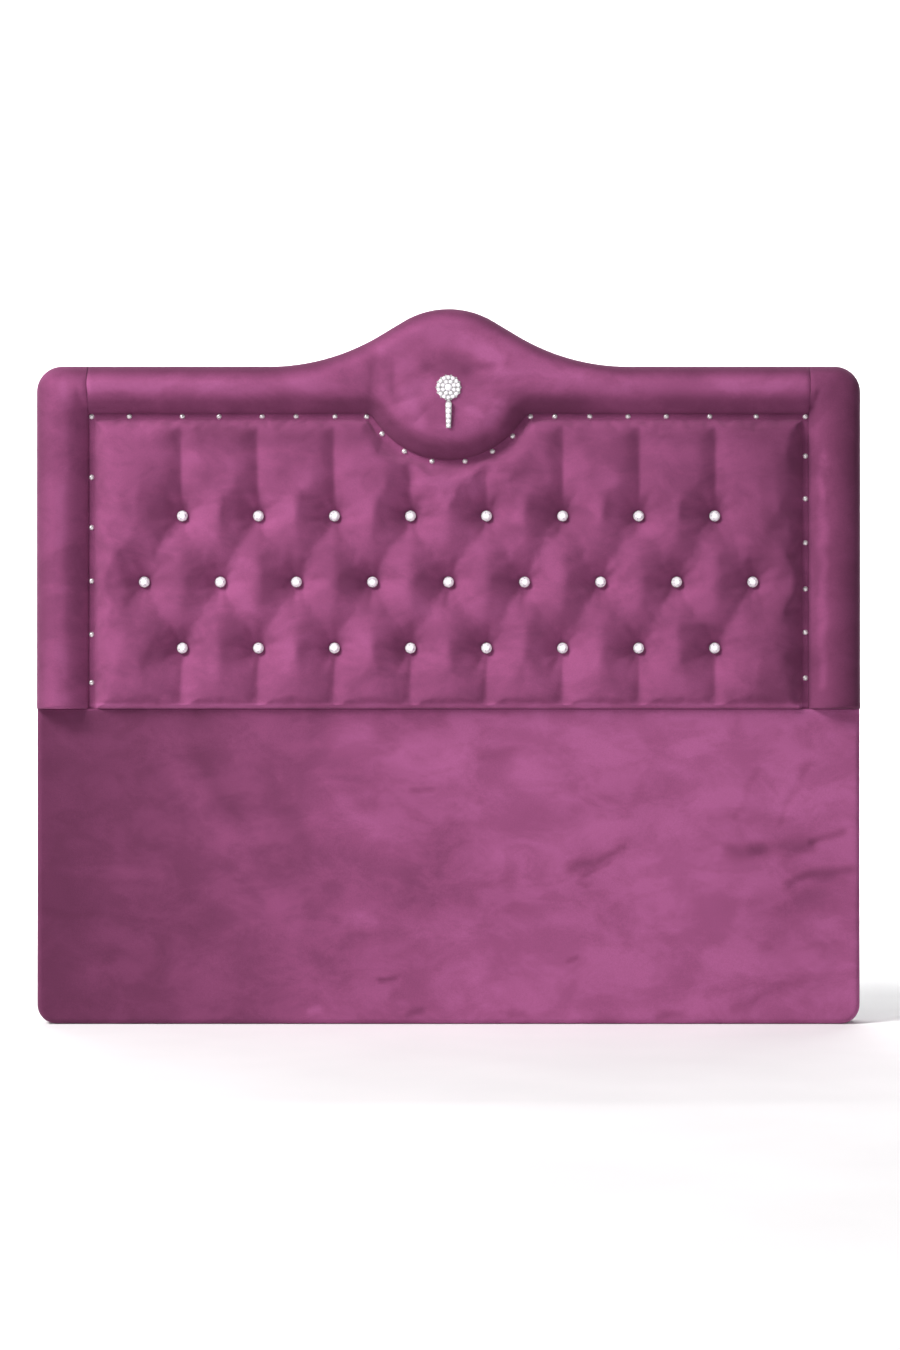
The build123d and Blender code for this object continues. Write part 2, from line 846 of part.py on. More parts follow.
with BuildPart() as crest_cover:
    add(
        padded_block(
            crest_region(0, 0, crest_half),
            margin_back,
            velvet_front,
            border_round,
            [(Axis.X, -crest_half), (Axis.X, crest_half)],
        )
    )
    add(brooch_seat(velvet_front), mode=Mode.SUBTRACT)
    with BuildPart(mode=Mode.PRIVATE) as crest_hollow:
        add(padded_block(crest_pad, pad_back, border_front, border_round - velvet, crest_pad_ends))
        add(brooch_seat(border_front), mode=Mode.SUBTRACT)
    add(crest_hollow.part, mode=Mode.SUBTRACT)
    with BuildSketch(layer(frame_back)):
        add(cut_outline(velvet, -inner_half, inner_half, seam_height, border_top))
    extrude(amount=pad_back - frame_back, mode=Mode.SUBTRACT)
    with BuildSketch(layer(margin_back)):
        add(cut_outline(velvet_margin, -inner_half, inner_half, seam_height, border_top))
    extrude(amount=frame_back - margin_back, mode=Mode.SUBTRACT)
    add(cover_staples, mode=Mode.SUBTRACT)
finish(crest_cover.part, "crest_cover")

# Lower panel
lower_pad = cut_outline(velvet, -half_width, half_width, 0, seam_height - velvet)
with BuildPart() as lower_foam:
    add(padded_block(lower_pad, pad_back, lower_front, lower_round - velvet, []))
finish(lower_foam.part, "lower_foam")

with BuildPart() as lower_cover:
    add(
        padded_block(
            cut_outline(0, -half_width, half_width, 0, seam_height),
            margin_back,
            lower_front + velvet,
            lower_round,
            [],
        )
    )
    add(lower_foam.part, mode=Mode.SUBTRACT)
    with BuildSketch(layer(frame_back)):
        add(cut_outline(velvet, -half_width, half_width, 0, border_top))
    extrude(amount=pad_back - frame_back, mode=Mode.SUBTRACT)
    with BuildSketch(layer(margin_back)):
        window(
            -half_width + velvet_margin,
            half_width - velvet_margin,
            velvet_margin,
            shoulder_height,
            Mode.ADD,
        )
    extrude(amount=frame_back - margin_back, mode=Mode.SUBTRACT)
    add(cover_staples, mode=Mode.SUBTRACT)
finish(lower_cover.part, "lower_cover")

# Closing cloth on the back
with BuildPart() as dust_cover:
    with BuildSketch(layer(dust_back)):
        add(outline(dust_inset))
        with Locations(*bolt_spots):
            Circle(bolt_window_radius, mode=Mode.SUBTRACT)
    extrude(amount=dust_cloth)
    add(cover_staples, mode=Mode.SUBTRACT)
finish(dust_cover.part, "dust_cover")

# Rosette
plate_back = velvet_front - brooch_sink
plate_front = plate_back + brooch_plate
pin_spot = brooch_height - lug_reach
with BuildPart() as rosette_plate:
    with BuildSketch(layer(plate_back)):
        with Locations((0, brooch_height)):
            Circle(brooch_radius)
            with PolarLocations(brooch_radius, outer_stones):
                Circle(scallop_radius)
        with Locations((0, pin_spot)):
            Circle(lug_radius)
        window(-lug_radius, lug_radius, pin_spot, brooch_height, Mode.ADD)
        with Locations((0, pin_spot)):
            Circle(pin_radius, mode=Mode.SUBTRACT)
    extrude(amount=brooch_plate)
    with Locations(place(0, plate_back, brooch_height)):
        Cylinder(stud_radius, stud_length, rotation=TO_BACK, align=FROM_BASE)
finish(rosette_plate.part, "brooch_plate")

stone_back = plate_front
outer_stone = cut_stone(outer_stone_radius, stone_rise, crystal_sides, stone_shares)
inner_stone = cut_stone(inner_stone_radius, stone_rise, crystal_sides, stone_shares)
centre_stone = cut_stone(centre_stone_radius, centre_stone_rise, crystal_sides, stone_shares)
with BuildPart() as brooch_crystals:
    for stone, ring, count in (
        (outer_stone, outer_ring_radius, outer_stones),
        (inner_stone, inner_ring_radius, inner_stones),
    ):
        turns = [2 * math.pi * (n + 0.5) / count for n in range(count)]
        with Locations(
            *[
                place(ring * math.cos(turn), stone_back, brooch_height + ring * math.sin(turn))
                for turn in turns
            ]
        ):
            add(stone)
finish(brooch_crystals.part, "brooch_crystals")
finish(
    group(centre_stone, [place(0, stone_back, brooch_height)]), "brooch_centre_crystal"
)

# The drop swings on the pin; a collar on the pin holds it off the velvet
collar = drop_back - plate_front
with BuildPart() as pendant_pin:
    with Locations(place(0, plate_back, pin_spot)):
        Cylinder(
            pin_radius,
            drop_back + drop_bar + pin_play + pin_head - plate_back,
            rotation=TO_FRONT,
            align=FROM_BASE,
        )
    with Locations(place(0, plate_front, pin_spot)):
        Cylinder(pin_head_radius, collar - pin_play / 2, rotation=TO_FRONT, align=FROM_BASE)
    with Locations(place(0, drop_back + drop_bar + pin_play, pin_spot)):
        Cylinder(pin_head_radius, pin_head, rotation=TO_FRONT, align=FROM_BASE)
finish(pendant_pin.part, "pendant_pin")

with BuildPart() as pendant_bar:
    with BuildSketch(layer(drop_back)):
        with Locations((0, pin_spot)):
            Circle(drop_eye_radius)
        Polygon(
            (-drop_eye_radius, pin_spot),
            (-drop_top_width / 2, pin_spot - drop_first_stone / 2),
            (-drop_end_width / 2, pin_spot - drop_length),
            (drop_end_width / 2, pin_spot - drop_length),
            (drop_top_width / 2, pin_spot - drop_first_stone / 2),
            (drop_eye_radius, pin_spot),
        )
        with Locations((0, pin_spot)):
            Circle(pin_radius + pin_clearance, mode=Mode.SUBTRACT)
    extrude(amount=drop_bar)
finish(pendant_bar.part, "pendant_bar")

# Its stones get smaller towards its end
with BuildPart() as pendant_crystals:
    stone_top = pin_spot - drop_first_stone + drop_stone_radii[0]
    for radius in drop_stone_radii:
        with Locations(place(0, drop_back + drop_bar, stone_top - radius)):
            add(cut_stone(radius, drop_stone_rise, crystal_sides, stone_shares))
        stone_top -= 2 * radius + drop_stone_gap
finish(pendant_crystals.part, "pendant_crystals")

print("depth", round(headboard_depth, 3), "half depth", round(half_depth, 3))
print("bolt places", bolt_spots)
print("pin height", pin_spot, "pin depth", drop_back)
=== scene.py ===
# Tufted velvet headboard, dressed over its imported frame
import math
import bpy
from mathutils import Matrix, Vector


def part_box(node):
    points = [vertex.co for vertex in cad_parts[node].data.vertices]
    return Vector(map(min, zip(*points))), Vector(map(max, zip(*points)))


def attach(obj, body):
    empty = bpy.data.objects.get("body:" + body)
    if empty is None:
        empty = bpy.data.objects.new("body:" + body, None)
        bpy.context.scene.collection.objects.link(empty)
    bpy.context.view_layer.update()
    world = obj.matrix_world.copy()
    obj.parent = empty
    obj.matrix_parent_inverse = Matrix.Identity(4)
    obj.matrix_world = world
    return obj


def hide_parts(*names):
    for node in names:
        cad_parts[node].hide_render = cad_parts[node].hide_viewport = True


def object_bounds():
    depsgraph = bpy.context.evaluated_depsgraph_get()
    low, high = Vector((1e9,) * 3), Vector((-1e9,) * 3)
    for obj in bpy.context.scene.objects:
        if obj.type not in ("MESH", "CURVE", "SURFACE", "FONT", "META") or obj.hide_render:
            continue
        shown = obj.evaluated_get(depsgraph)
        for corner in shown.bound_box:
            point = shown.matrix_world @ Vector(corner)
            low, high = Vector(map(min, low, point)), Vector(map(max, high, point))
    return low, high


bl_info = {
    "name": "Tufted velvet headboard",
    "version": (1, 0, 0),
    "blender": (4, 5, 0),
    "location": "3D View > Sidebar > Headboard",
    "description": "Dresses the packed headboard in velvet, crystal and nickel",
    "category": "Object",
}

import bmesh
import bpy
from bpy.props import FloatProperty, FloatVectorProperty, IntProperty, PointerProperty
from bpy.types import Operator, Panel, PropertyGroup
from mathutils import Matrix, Vector, noise

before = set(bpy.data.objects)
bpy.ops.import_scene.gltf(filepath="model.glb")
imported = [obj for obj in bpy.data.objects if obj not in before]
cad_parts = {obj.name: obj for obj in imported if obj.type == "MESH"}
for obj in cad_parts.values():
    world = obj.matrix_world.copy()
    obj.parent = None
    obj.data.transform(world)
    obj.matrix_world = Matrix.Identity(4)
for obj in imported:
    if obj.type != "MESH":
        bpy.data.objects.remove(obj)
cad_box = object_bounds()

# Sizes read from the frame, in metres
lower_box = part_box("lower_cover")
border_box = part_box("right_bolster_cover")
crest_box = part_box("crest_cover")
unit_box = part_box("tufted_velvet_cover")
cloth_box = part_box("dust_cover")
button_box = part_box("button_crystals")
rosette_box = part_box("brooch_crystals")
rosette_centre_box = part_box("brooch_centre_crystal")
drop_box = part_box("pendant_crystals")

REAR = cad_box[1].y
HALF_WIDTH = lower_box[1].x
SEAM = lower_box[1].z
SHOULDER = border_box[1].z
INNER_HALF = border_box[0].x
BORDER_FOOT = border_box[0].z
CREST_HALF = crest_box[1].x
UNIT_HALF = unit_box[1].x
UNIT_FOOT = unit_box[0].z
UNIT_TOP = unit_box[1].z
BORDER_FRONT = REAR - border_box[0].y
PILLOW_FRONT = REAR - unit_box[0].y
LOWER_FRONT = REAR - lower_box[0].y

# Outline of the headboard
TOP_CORNER = 0.050
FOOT_CORNER = 0.038
APEX_RADIUS = 0.170
APEX_HEIGHT = crest_box[1].z - APEX_RADIUS
SWEEP_RADIUS = 0.420
SWEEP_ACROSS = 0.350
SWEEP_HEIGHT = SHOULDER + SWEEP_RADIUS
CREST_LEAN = math.atan2(SWEEP_ACROSS, SWEEP_HEIGHT - APEX_HEIGHT) - math.acos(
    (APEX_RADIUS + SWEEP_RADIUS) / math.hypot(SWEEP_ACROSS, SWEEP_HEIGHT - APEX_HEIGHT)
)
UNDERSIDE = UNIT_TOP + 0.0003
LOBE_RADIUS = 0.171
LOBE_HEIGHT = crest_box[0].z + LOBE_RADIUS
LOBE_FILLET = 0.020
FILLET_ACROSS = math.sqrt(
    (LOBE_RADIUS + LOBE_FILLET) ** 2 - (LOBE_HEIGHT - UNDERSIDE + LOBE_FILLET) ** 2
)
LOBE_END = FILLET_ACROSS * LOBE_RADIUS / (LOBE_RADIUS + LOBE_FILLET)

# Layers, counted forward from the rear
MARGIN_BACK = 0.0015
MARGIN_FRONT = 0.0030
MARGIN_WIDTH = 0.028
VELVET = 0.0015
PAD_BACK = 0.052
CORE_FRONT = 0.064
STRIP_BACK = 0.058
STRIP_FRONT = 0.074
STRIP_WIDTH = 0.0102
CHANNEL_FLOOR = 0.0755

# Buttons, counted from the centre
BUTTON_RADIUS = 0.0105
BUTTON_PITCH = 0.148
BUTTON_ROWS = ((0.988, 8), (0.8595, 9), (0.731, 8))
BUTTONS = [
    ((place - (count - 1) / 2) * BUTTON_PITCH, height)
    for height, count in BUTTON_ROWS
    for place in range(count)
]
PILLOW_HALF = UNIT_HALF - VELVET - STRIP_WIDTH

# Rosette and drop
ROSETTE_HEIGHT = 1.234
ROSETTE_RINGS = ((14, 0.0196, 0.0039), (8, 0.0114, 0.0038))
ROSETTE_CENTRE_RADIUS = 0.0068
DROP_FIRST_STONE = 1.199
DROP_STONE_RADII = (0.0054, 0.0051, 0.0048, 0.0044, 0.0040)
DROP_STONE_GAP = 0.0002

# Bolt windows in the back cloth
BOLT_WINDOWS = [(side * 0.740, height) for side in (-1, 1) for height in (0.240, 0.304)]
BOLT_WINDOW_RADIUS = 0.014

# How near a point is to the edge that it lies on, and a length that counts as none
ON_EDGE = 1e-4
ON_CURVED_EDGE = 1e-3
NOTHING = 1e-9

# Edges of a pad that turn more than this stay crisp
CRISP_TURN = math.radians(58)

# How far the strokes of nap marks, painted shade and painted highlights wander, and over what
# length
STROKE_WANDER = 0.010
STROKE_WANDER_LENGTH = 0.045


def ease(value, low, high):
    """A smooth step from 0 at low to 1 at high."""
    share = min(1.0, max(0.0, (value - low) / (high - low)))
    return share * share * (3 - 2 * share)


def roll(reach, width, depth):
    """How far a rounded edge has fallen back at a reach inside its outline."""
    if reach >= width:
        return 0.0
    share = 1 - max(0.0, reach) / width
    return depth * (1 - math.sqrt(1 - share**2))


def ripple(across, height, size, seed):
    """Soft unevenness between -1 and 1, with hills about as wide as size."""
    return noise.noise(Vector((across / size, height / size, seed)))


def segment_reach(across, height, start, end):
    """The distance to a straight line, and the share along it of the nearest point."""
    run, rise = end[0] - start[0], end[1] - start[1]
    share = ((across - start[0]) * run + (height - start[1]) * rise) / (run * run + rise * rise)
    share = min(1.0, max(0.0, share))
    gap = math.hypot(across - start[0] - share * run, height - start[1] - share * rise)
    return gap, share


def fold(across, height, start, end, width, depth):
    """A soft crease pressed into the velvet between two points, fading at its ends."""
    gap, share = segment_reach(across, height, start, end)
    if gap >= width:
        return 0.0
    fade = ease(share, 0.0, 0.25) * (1 - ease(share, 0.6, 1.0))
    return depth * fade * (1 - gap / width) ** 2


def folded(across, height, folds):
    """How deep a pad's soft creases press it in at a place."""
    return sum(fold(across, height, *line) for line in folds)


def inward_roll(reach, width, depth):
    """How far a border has fallen back at a reach inside its edge beside the tufting."""
    return depth * max(0.0, 1 - max(0.0, reach) / width) ** 1.9


def brushed(across, height, strokes):
    """How much a place is lightened or darkened by strokes: brush marks left in the nap by
    strokes of the hand, painted shade along creases, and painted highlights.
    """
    total = 0.0
    across += STROKE_WANDER * ripple(across, height, STROKE_WANDER_LENGTH, 12.7)
    height += STROKE_WANDER * ripple(across, height, STROKE_WANDER_LENGTH, 15.1)
    for start, end, width, strength in strokes:
        gap, _ = segment_reach(across, height, start, end)
        if gap < width:
            total += strength * (1 - (gap / width) ** 2) ** 2
    return total


def paint_nap(piece, strokes, nap_and_shading):
    """Writes on the velvet its nap marks, painted shade and painted highlights as one value, for
    its finish to read.
    """
    nap = piece.data.attributes.new("nap", "FLOAT", "POINT")
    for vert, value in zip(piece.data.vertices, nap.data):
        across, height = vert.co.x, vert.co.z
        # Painted value: the piece's tone with painted shade and highlights by place, plus the
        # strokes
        value.value = nap_and_shading(across, height) + brushed(across, height, strokes)


def crest_height(across):
    """The height of the headboard's top edge at a place across."""
    across = abs(across)
    if across >= SWEEP_ACROSS:
        return SHOULDER
    if across >= SWEEP_ACROSS - SWEEP_RADIUS * math.sin(CREST_LEAN):
        return SWEEP_HEIGHT - math.sqrt(SWEEP_RADIUS**2 - (SWEEP_ACROSS - across) ** 2)
    if across >= APEX_RADIUS * math.sin(CREST_LEAN):
        run = across - APEX_RADIUS * math.sin(CREST_LEAN)
        return APEX_HEIGHT + APEX_RADIUS * math.cos(CREST_LEAN) - run * math.tan(CREST_LEAN)
    return APEX_HEIGHT + math.sqrt(APEX_RADIUS**2 - across**2)


def crest_lean(across):
    """The lean of the top edge's outward direction at a place across, in radians."""
    side = math.copysign(1, across)
    across = abs(across)
    if across >= SWEEP_ACROSS:
        return 0.0
    if across >= SWEEP_ACROSS - SWEEP_RADIUS * math.sin(CREST_LEAN):
        return side * math.asin((SWEEP_ACROSS - across) / SWEEP_RADIUS)
    return side * math.asin(min(across / APEX_RADIUS, math.sin(CREST_LEAN)))


def crest_reach(across, height):
    """How far a point lies inside the top edge."""
    across = abs(across)
    if across >= SWEEP_ACROSS:
        return SHOULDER - height
    apex_turn = math.atan2(across, height - APEX_HEIGHT)
    if apex_turn <= CREST_LEAN:
        return APEX_RADIUS - math.hypot(across, height - APEX_HEIGHT)
    sweep_turn = math.atan2(SWEEP_ACROSS - across, SWEEP_HEIGHT - height)
    if sweep_turn <= CREST_LEAN:
        return math.hypot(SWEEP_ACROSS - across, SWEEP_HEIGHT - height) - SWEEP_RADIUS
    run = across - APEX_RADIUS * math.sin(CREST_LEAN)
    rise = height - APEX_HEIGHT - APEX_RADIUS * math.cos(CREST_LEAN)
    return -run * math.sin(CREST_LEAN) - rise * math.cos(CREST_LEAN)


def underside_height(across):
    """The height of the top border's lower edge, with its round lobe."""
    across = abs(across)
    if across >= FILLET_ACROSS:
        return UNDERSIDE
    if across >= LOBE_END:
        drop = LOBE_FILLET - math.sqrt(LOBE_FILLET**2 - (FILLET_ACROSS - across) ** 2)
        return UNDERSIDE - drop
    return LOBE_HEIGHT - math.sqrt(LOBE_RADIUS**2 - across**2)


def underside_lean(across):
    """The lean of the lower edge's outward direction at a place across, in radians."""
    side = math.copysign(1, across)
    across = abs(across)
    if across >= FILLET_ACROSS:
        return 0.0
    if across >= LOBE_END:
        return side * math.asin((FILLET_ACROSS - across) / LOBE_FILLET)
    return side * math.asin(across / LOBE_RADIUS)


def underside_reach(across, height):
    """How far a point of the top border lies inside its lower edge."""
    across = abs(across)
    if across >= FILLET_ACROSS:
        return height - UNDERSIDE
    below = LOBE_HEIGHT - height
    lobe_turn = math.atan2(LOBE_END, LOBE_HEIGHT - underside_height(LOBE_END))
    if below > 0 and math.atan2(across, below) <= lobe_turn:
        return LOBE_RADIUS - math.hypot(across, below)
    return math.hypot(FILLET_ACROSS - across, height - UNDERSIDE + LOBE_FILLET) - LOBE_FILLET


def spaced(start, end, step):
    """Evenly spaced places from start to end, about a step apart."""
    count = max(1, round((end - start) / step))
    return [start + (end - start) * place / count for place in range(count + 1)]


def rounded_reaches(radius, steps):
    """Reaches from an edge that follow a rounding in equal turns."""
    return [radius * (1 - math.cos(math.pi / 2 * step / steps)) for step in range(steps)]


def from_both_sides(low, high, low_reaches, high_reaches, step):
    """Places from low to high, close together at both edges and a step apart between."""
    first = low + (low_reaches[-1] if low_reaches else 0) + step / 2
    last = high - (high_reaches[-1] if high_reaches else 0) - step / 2
    places = [low + reach for reach in low_reaches]
    places += spaced(first, last, step)
    places += [high - reach for reach in reversed(high_reaches)]
    return places


def new_piece(name, shape):
    """A piece of its own from a finished shape."""
    mesh = bpy.data.meshes.new(name)
    shape.to_mesh(mesh)
    shape.free()
    piece = bpy.data.objects.new(name, mesh)
    bpy.context.scene.collection.objects.link(piece)
    return piece


def opened(piece):
    """The shape of a piece, to be worked on further."""
    shape = bmesh.new()
    shape.from_mesh(piece.data)
    return shape


def closed(shape, piece):
    """Writes a shape back to its piece."""
    shape.to_mesh(piece.data)
    shape.free()


def extruded(shape, edges):
    """Draws edges out once, and gives the new points and the new edges."""
    made = bmesh.ops.extrude_edge_only(shape, edges=edges)["geom"]
    verts = [item for item in made if isinstance(item, bmesh.types.BMVert)]
    return verts, [item for item in made if isinstance(item, bmesh.types.BMEdge)]


def drop_loose_edges(shape):
    """Removes the edges that carry no face."""
    loose = [edge for edge in shape.edges if not edge.link_faces]
    bmesh.ops.delete(shape, geom=loose, context="EDGES")


def face_outwards(shape):
    """Turns the faces outwards and shades them smoothly."""
    bmesh.ops.recalc_face_normals(shape, faces=shape.faces)
    for face in shape.faces:
        face.smooth = True


def front_sheet(name, columns, rows, place):
    """The front of a pad as one grid of velvet, laid out by its columns and rows."""
    shape = bmesh.new()
    across_count, up_count = len(columns) - 1, len(rows) - 1
    bmesh.ops.create_grid(shape, x_segments=across_count, y_segments=up_count, size=0.5)
    for vert in shape.verts:
        column = round((vert.co.x + 0.5) * across_count)
        row = round((vert.co.y + 0.5) * up_count)
        across, height, depth = place(columns[column], rows[row])
        vert.co = (across, REAR - depth, height)
    return new_piece(name, shape)


def settle(piece, held, slack, pressure, frames, limit):
    """Lets the velvet settle over its filling, held where it is pulled in or nailed."""
    start = [vert.co.copy() for vert in piece.data.vertices]
    group = piece.vertex_groups.new(name="held")
    for vert in piece.data.vertices:
        weight = held(vert.co.x, vert.co.z)
        if weight > 0:
            group.add([vert.index], weight, "REPLACE")
    cloth = piece.modifiers.new("settling", "CLOTH")
    cloth.settings.quality = 6
    cloth.settings.mass = 0.35
    cloth.settings.tension_stiffness = 25
    cloth.settings.compression_stiffness = 25
    cloth.settings.shear_stiffness = 10
    cloth.settings.bending_stiffness = 6
    cloth.settings.air_damping = 4
    cloth.settings.vertex_group_mass = group.name
    cloth.settings.shrink_min = -slack
    cloth.settings.use_pressure = True
    cloth.settings.uniform_pressure_force = pressure
    cloth.settings.effector_weights.gravity = 0
    cloth.collision_settings.use_collision = False
    cloth.point_cache.frame_start = 1
    cloth.point_cache.frame_end = frames
    scene = bpy.context.scene
    for number in range(1, frames + 1):
        scene.frame_set(number)
    settled = piece.evaluated_get(bpy.context.evaluated_depsgraph_get()).to_mesh()
    moved = [vert.co.copy() for vert in settled.vertices]
    piece.modifiers.remove(cloth)
    piece.vertex_groups.remove(group)
    for vert, before, after in zip(piece.data.vertices, start, moved):
        move = after - before
        vert.co = before + move * min(1.0, limit / max(move.length, NOTHING))
    scene.frame_set(1)


def refine(piece):
    """Doubles the velvet's grid, with the pleats kept crisp."""
    rounding = piece.modifiers.new("rounding", "SUBSURF")
    rounding.levels = 1
    rounding.render_levels = 1
    rounding.boundary_smooth = "PRESERVE_CORNERS"
    finer = bpy.data.meshes.new_from_object(
        piece.evaluated_get(bpy.context.evaluated_depsgraph_get())
    )
    piece.modifiers.remove(rounding)
    coarse = piece.data
    finer.name = coarse.name + "_fine"
    piece.data = finer
    bpy.data.meshes.remove(coarse)


def close_behind(piece, rim, wraps):
    """Takes the pad's rim back round the frame and closes the pad behind.

    rim gives the outward directions of the silhouette and of a joint at a place on the rim,
    and wraps the depth and inset of each turn, for the silhouette and for a joint.
    """
    shape = opened(piece)
    edges = [edge for edge in shape.edges if edge.is_boundary]
    ring = {}
    for edge in edges:
        for vert in edge.verts:
            ring[vert] = (vert.co.copy(), *rim(vert.co.x, vert.co.z))
    for silhouette_depth, silhouette_inset, joint_depth, joint_inset in wraps:
        verts, edges = extruded(shape, edges)
        turned = {}
        for vert in verts:
            source = next(
                edge.other_vert(vert) for edge in vert.link_edges if edge.other_vert(vert) in ring
            )
            place, silhouette, joint = ring[source]
            depth = joint_depth if silhouette is None else silhouette_depth
            across, height = place.x, place.z
            for direction, inset in ((silhouette, silhouette_inset), (joint, joint_inset)):
                if direction is not None:
                    across -= direction[0] * inset
                    height -= direction[1] * inset
            vert.co = (across, REAR - depth, height)
            turned[vert] = ring[source]
        edges = [edge for edge in edges if edge.is_boundary]
        ring = turned
    bmesh.ops.triangle_fill(shape, use_beauty=True, edges=edges, normal=(0, 1, 0))
    face_outwards(shape)
    closed(shape, piece)
    piece.data.set_sharp_from_angle(angle=CRISP_TURN)


def hand_over(piece, finish, body, slot, *nodes):
    """Gives a piece its finish and its body, and hides the nodes that it stands for."""
    piece.data.materials.clear()
    piece.data.materials.append(finish)
    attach(piece, body)
    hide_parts(*nodes)


def finish_pad(piece, rim, wraps, strokes, nap_and_shading, cover, foam):
    """Closes a pad behind, paints its nap marks, painted shade and painted highlights, and gives
    it its velvet.
    """
    close_behind(piece, rim, wraps)
    paint_nap(piece, strokes, nap_and_shading)
    hand_over(piece, shared("plush_velvet", velvet_finish), "headboard", "velvet", cover, foam)


# The turns of a pad's rim: depth and inset along the silhouette, then along a joint
RIM_WRAPS = (
    (MARGIN_BACK, 0.0, PAD_BACK, 0.0),
    (MARGIN_BACK, MARGIN_WIDTH, PAD_BACK, 0.0005),
    (MARGIN_FRONT, MARGIN_WIDTH, PAD_BACK, 0.0010),
    (MARGIN_FRONT, VELVET, PAD_BACK, VELVET),
)
BORDER_WRAPS = (*RIM_WRAPS, (CORE_FRONT, VELVET, CORE_FRONT, VELVET))
LOWER_WRAPS = (*RIM_WRAPS, (PAD_BACK, VELVET, PAD_BACK + 0.0005, 2 * VELVET))
UNIT_WRAPS = tuple(
    (depth, inset, depth, inset)
    for depth, inset in (
        (PAD_BACK, 0.0),
        (PAD_BACK, VELVET),
        (STRIP_FRONT, VELVET),
        (STRIP_FRONT, VELVET + STRIP_WIDTH),
        (STRIP_BACK, VELVET + STRIP_WIDTH),
    )
)


# Finishes

def feed(tree, node, inputs):
    """Gives a node's sockets their values and the links into them."""
    for name, value in inputs.items():
        if isinstance(value, bpy.types.NodeSocket):
            tree.links.new(value, node.inputs[name])
        else:
            node.inputs[name].default_value = value


def add_node(tree, kind, inputs=None, **settings):
    """Adds a shader node with its settings, its values and the links into it."""
    node = tree.nodes.new(kind)
    for name, value in settings.items():
        setattr(node, name, value)
    feed(tree, node, inputs or {})
    return node


def tone_ramp(tree, factor, stops):
    """A colour ramp from pairs of a position and a colour."""
    ramp = add_node(tree, "ShaderNodeValToRGB", {"Fac": factor})
    while len(ramp.color_ramp.elements) < len(stops):
        ramp.color_ramp.elements.new(0.5)
    for element, (position, colour) in zip(ramp.color_ramp.elements, stops):
        element.position = position
        element.color = (*colour, 1)
    return ramp.outputs["Color"]


def multiplied(tree, first, second):
    """Two colours multiplied."""
    inputs = {0: 1.0, 6: first, 7: second}
    node = add_node(tree, "ShaderNodeMix", inputs, data_type="RGBA", blend_type="MULTIPLY")
    return node.outputs[2]


def computed(tree, operation, *values):
    """A sum or a product of values."""
    node = add_node(tree, "ShaderNodeMath", dict(enumerate(values)), operation=operation)
    return node.outputs["Value"]


def remapped(tree, value, source, target, kind="LINEAR"):
    """A value moved from one range to another."""
    inputs = {
        "Value": value,
        "From Min": source[0],
        "From Max": source[1],
        "To Min": target[0],
        "To Max": target[1],
    }
    return add_node(tree, "ShaderNodeMapRange", inputs, interpolation_type=kind).outputs["Result"]


def grey_tone(tree, value, source, target):
    """A grey that follows a value from one range to another."""
    grey = remapped(tree, value, source, target)
    node = add_node(tree, "ShaderNodeCombineColor", {"Red": grey, "Green": grey, "Blue": grey})
    return node.outputs["Color"]


def patches(tree, place, scale, detail, roughness=0.5, distortion=0.0):
    """Soft uneven patches between 0 and 1."""
    inputs = {
        "Vector": place,
        "Scale": scale,
        "Detail": detail,
        "Roughness": roughness,
        "Distortion": distortion,
    }
    return add_node(tree, "ShaderNodeTexNoise", inputs).outputs["Fac"]


def spots(tree, place, scale, randomness):
    """Small cells, from 0 at the middle of each."""
    inputs = {"Vector": place, "Scale": scale, "Randomness": randomness}
    return add_node(tree, "ShaderNodeTexVoronoi", inputs).outputs["Distance"]


def bands(tree, inputs, direction):
    """Parallel bands between 0 and 1."""
    node = add_node(
        tree, "ShaderNodeTexWave", inputs, wave_type="BANDS", bands_direction=direction
    )
    return node.outputs["Fac"]


def stretched(tree, place, scale, turn=0.0):
    """Coordinates for a pattern that is stretched, and turned in the plane of the front."""
    inputs = {"Vector": place, "Rotation": (0.0, turn, 0.0), "Scale": scale}
    return add_node(tree, "ShaderNodeMapping", inputs).outputs["Vector"]


def bumped(tree, height, strength, distance):
    """A surface raised by a height."""
    inputs = {"Height": height, "Strength": strength, "Distance": distance}
    return add_node(tree, "ShaderNodeBump", inputs).outputs["Normal"]


def painted(tree, name):
    """A value that is stored on the piece's own mesh."""
    return add_node(tree, "ShaderNodeAttribute", attribute_name=name).outputs["Fac"]


def new_group(name, setting, value):
    """A shader node group that is given coordinates and one setting."""
    group = bpy.data.node_groups.new(name, "ShaderNodeTree")
    sockets = group.interface
    sockets.new_socket(name="Vector", in_out="INPUT", socket_type="NodeSocketVector")
    socket = sockets.new_socket(name=setting, in_out="INPUT", socket_type="NodeSocketFloat")
    socket.default_value = value
    given = group.nodes.new("NodeGroupInput").outputs
    return group, given["Vector"], given[setting]


def put_out(group, masks):
    """Ends a shader node group with the masks that it puts out."""
    for name in masks:
        group.interface.new_socket(name=name, in_out="OUTPUT", socket_type="NodeSocketFloat")
    feed(group, group.nodes.new("NodeGroupOutput"), masks)
    return group


def velvet_nap():
    """Shaded clouds, brush marks and standing pile, the same on every velvet piece."""
    group, place, cloud_scale = new_group("velvet_nap", "Cloud Scale", 4.0)
    leaning = stretched(group, place, (9.0, 9.0, 14.0), math.radians(24))
    marks = patches(group, leaning, 1.0, 5.0, 0.62, 0.35)
    fibres = patches(group, place, 620.0, 3.0, 0.7)
    masks = {
        "Clouds": patches(group, place, cloud_scale, 3.0, 0.55, 0.6),
        "Brush Marks": remapped(group, marks, (0.38, 0.64), (0.0, 1.0), "SMOOTHSTEP"),
        "Fibres": fibres,
        "Pile": computed(group, "ADD", fibres, spots(group, place, 950.0, 1.0)),
    }
    return put_out(group, masks)


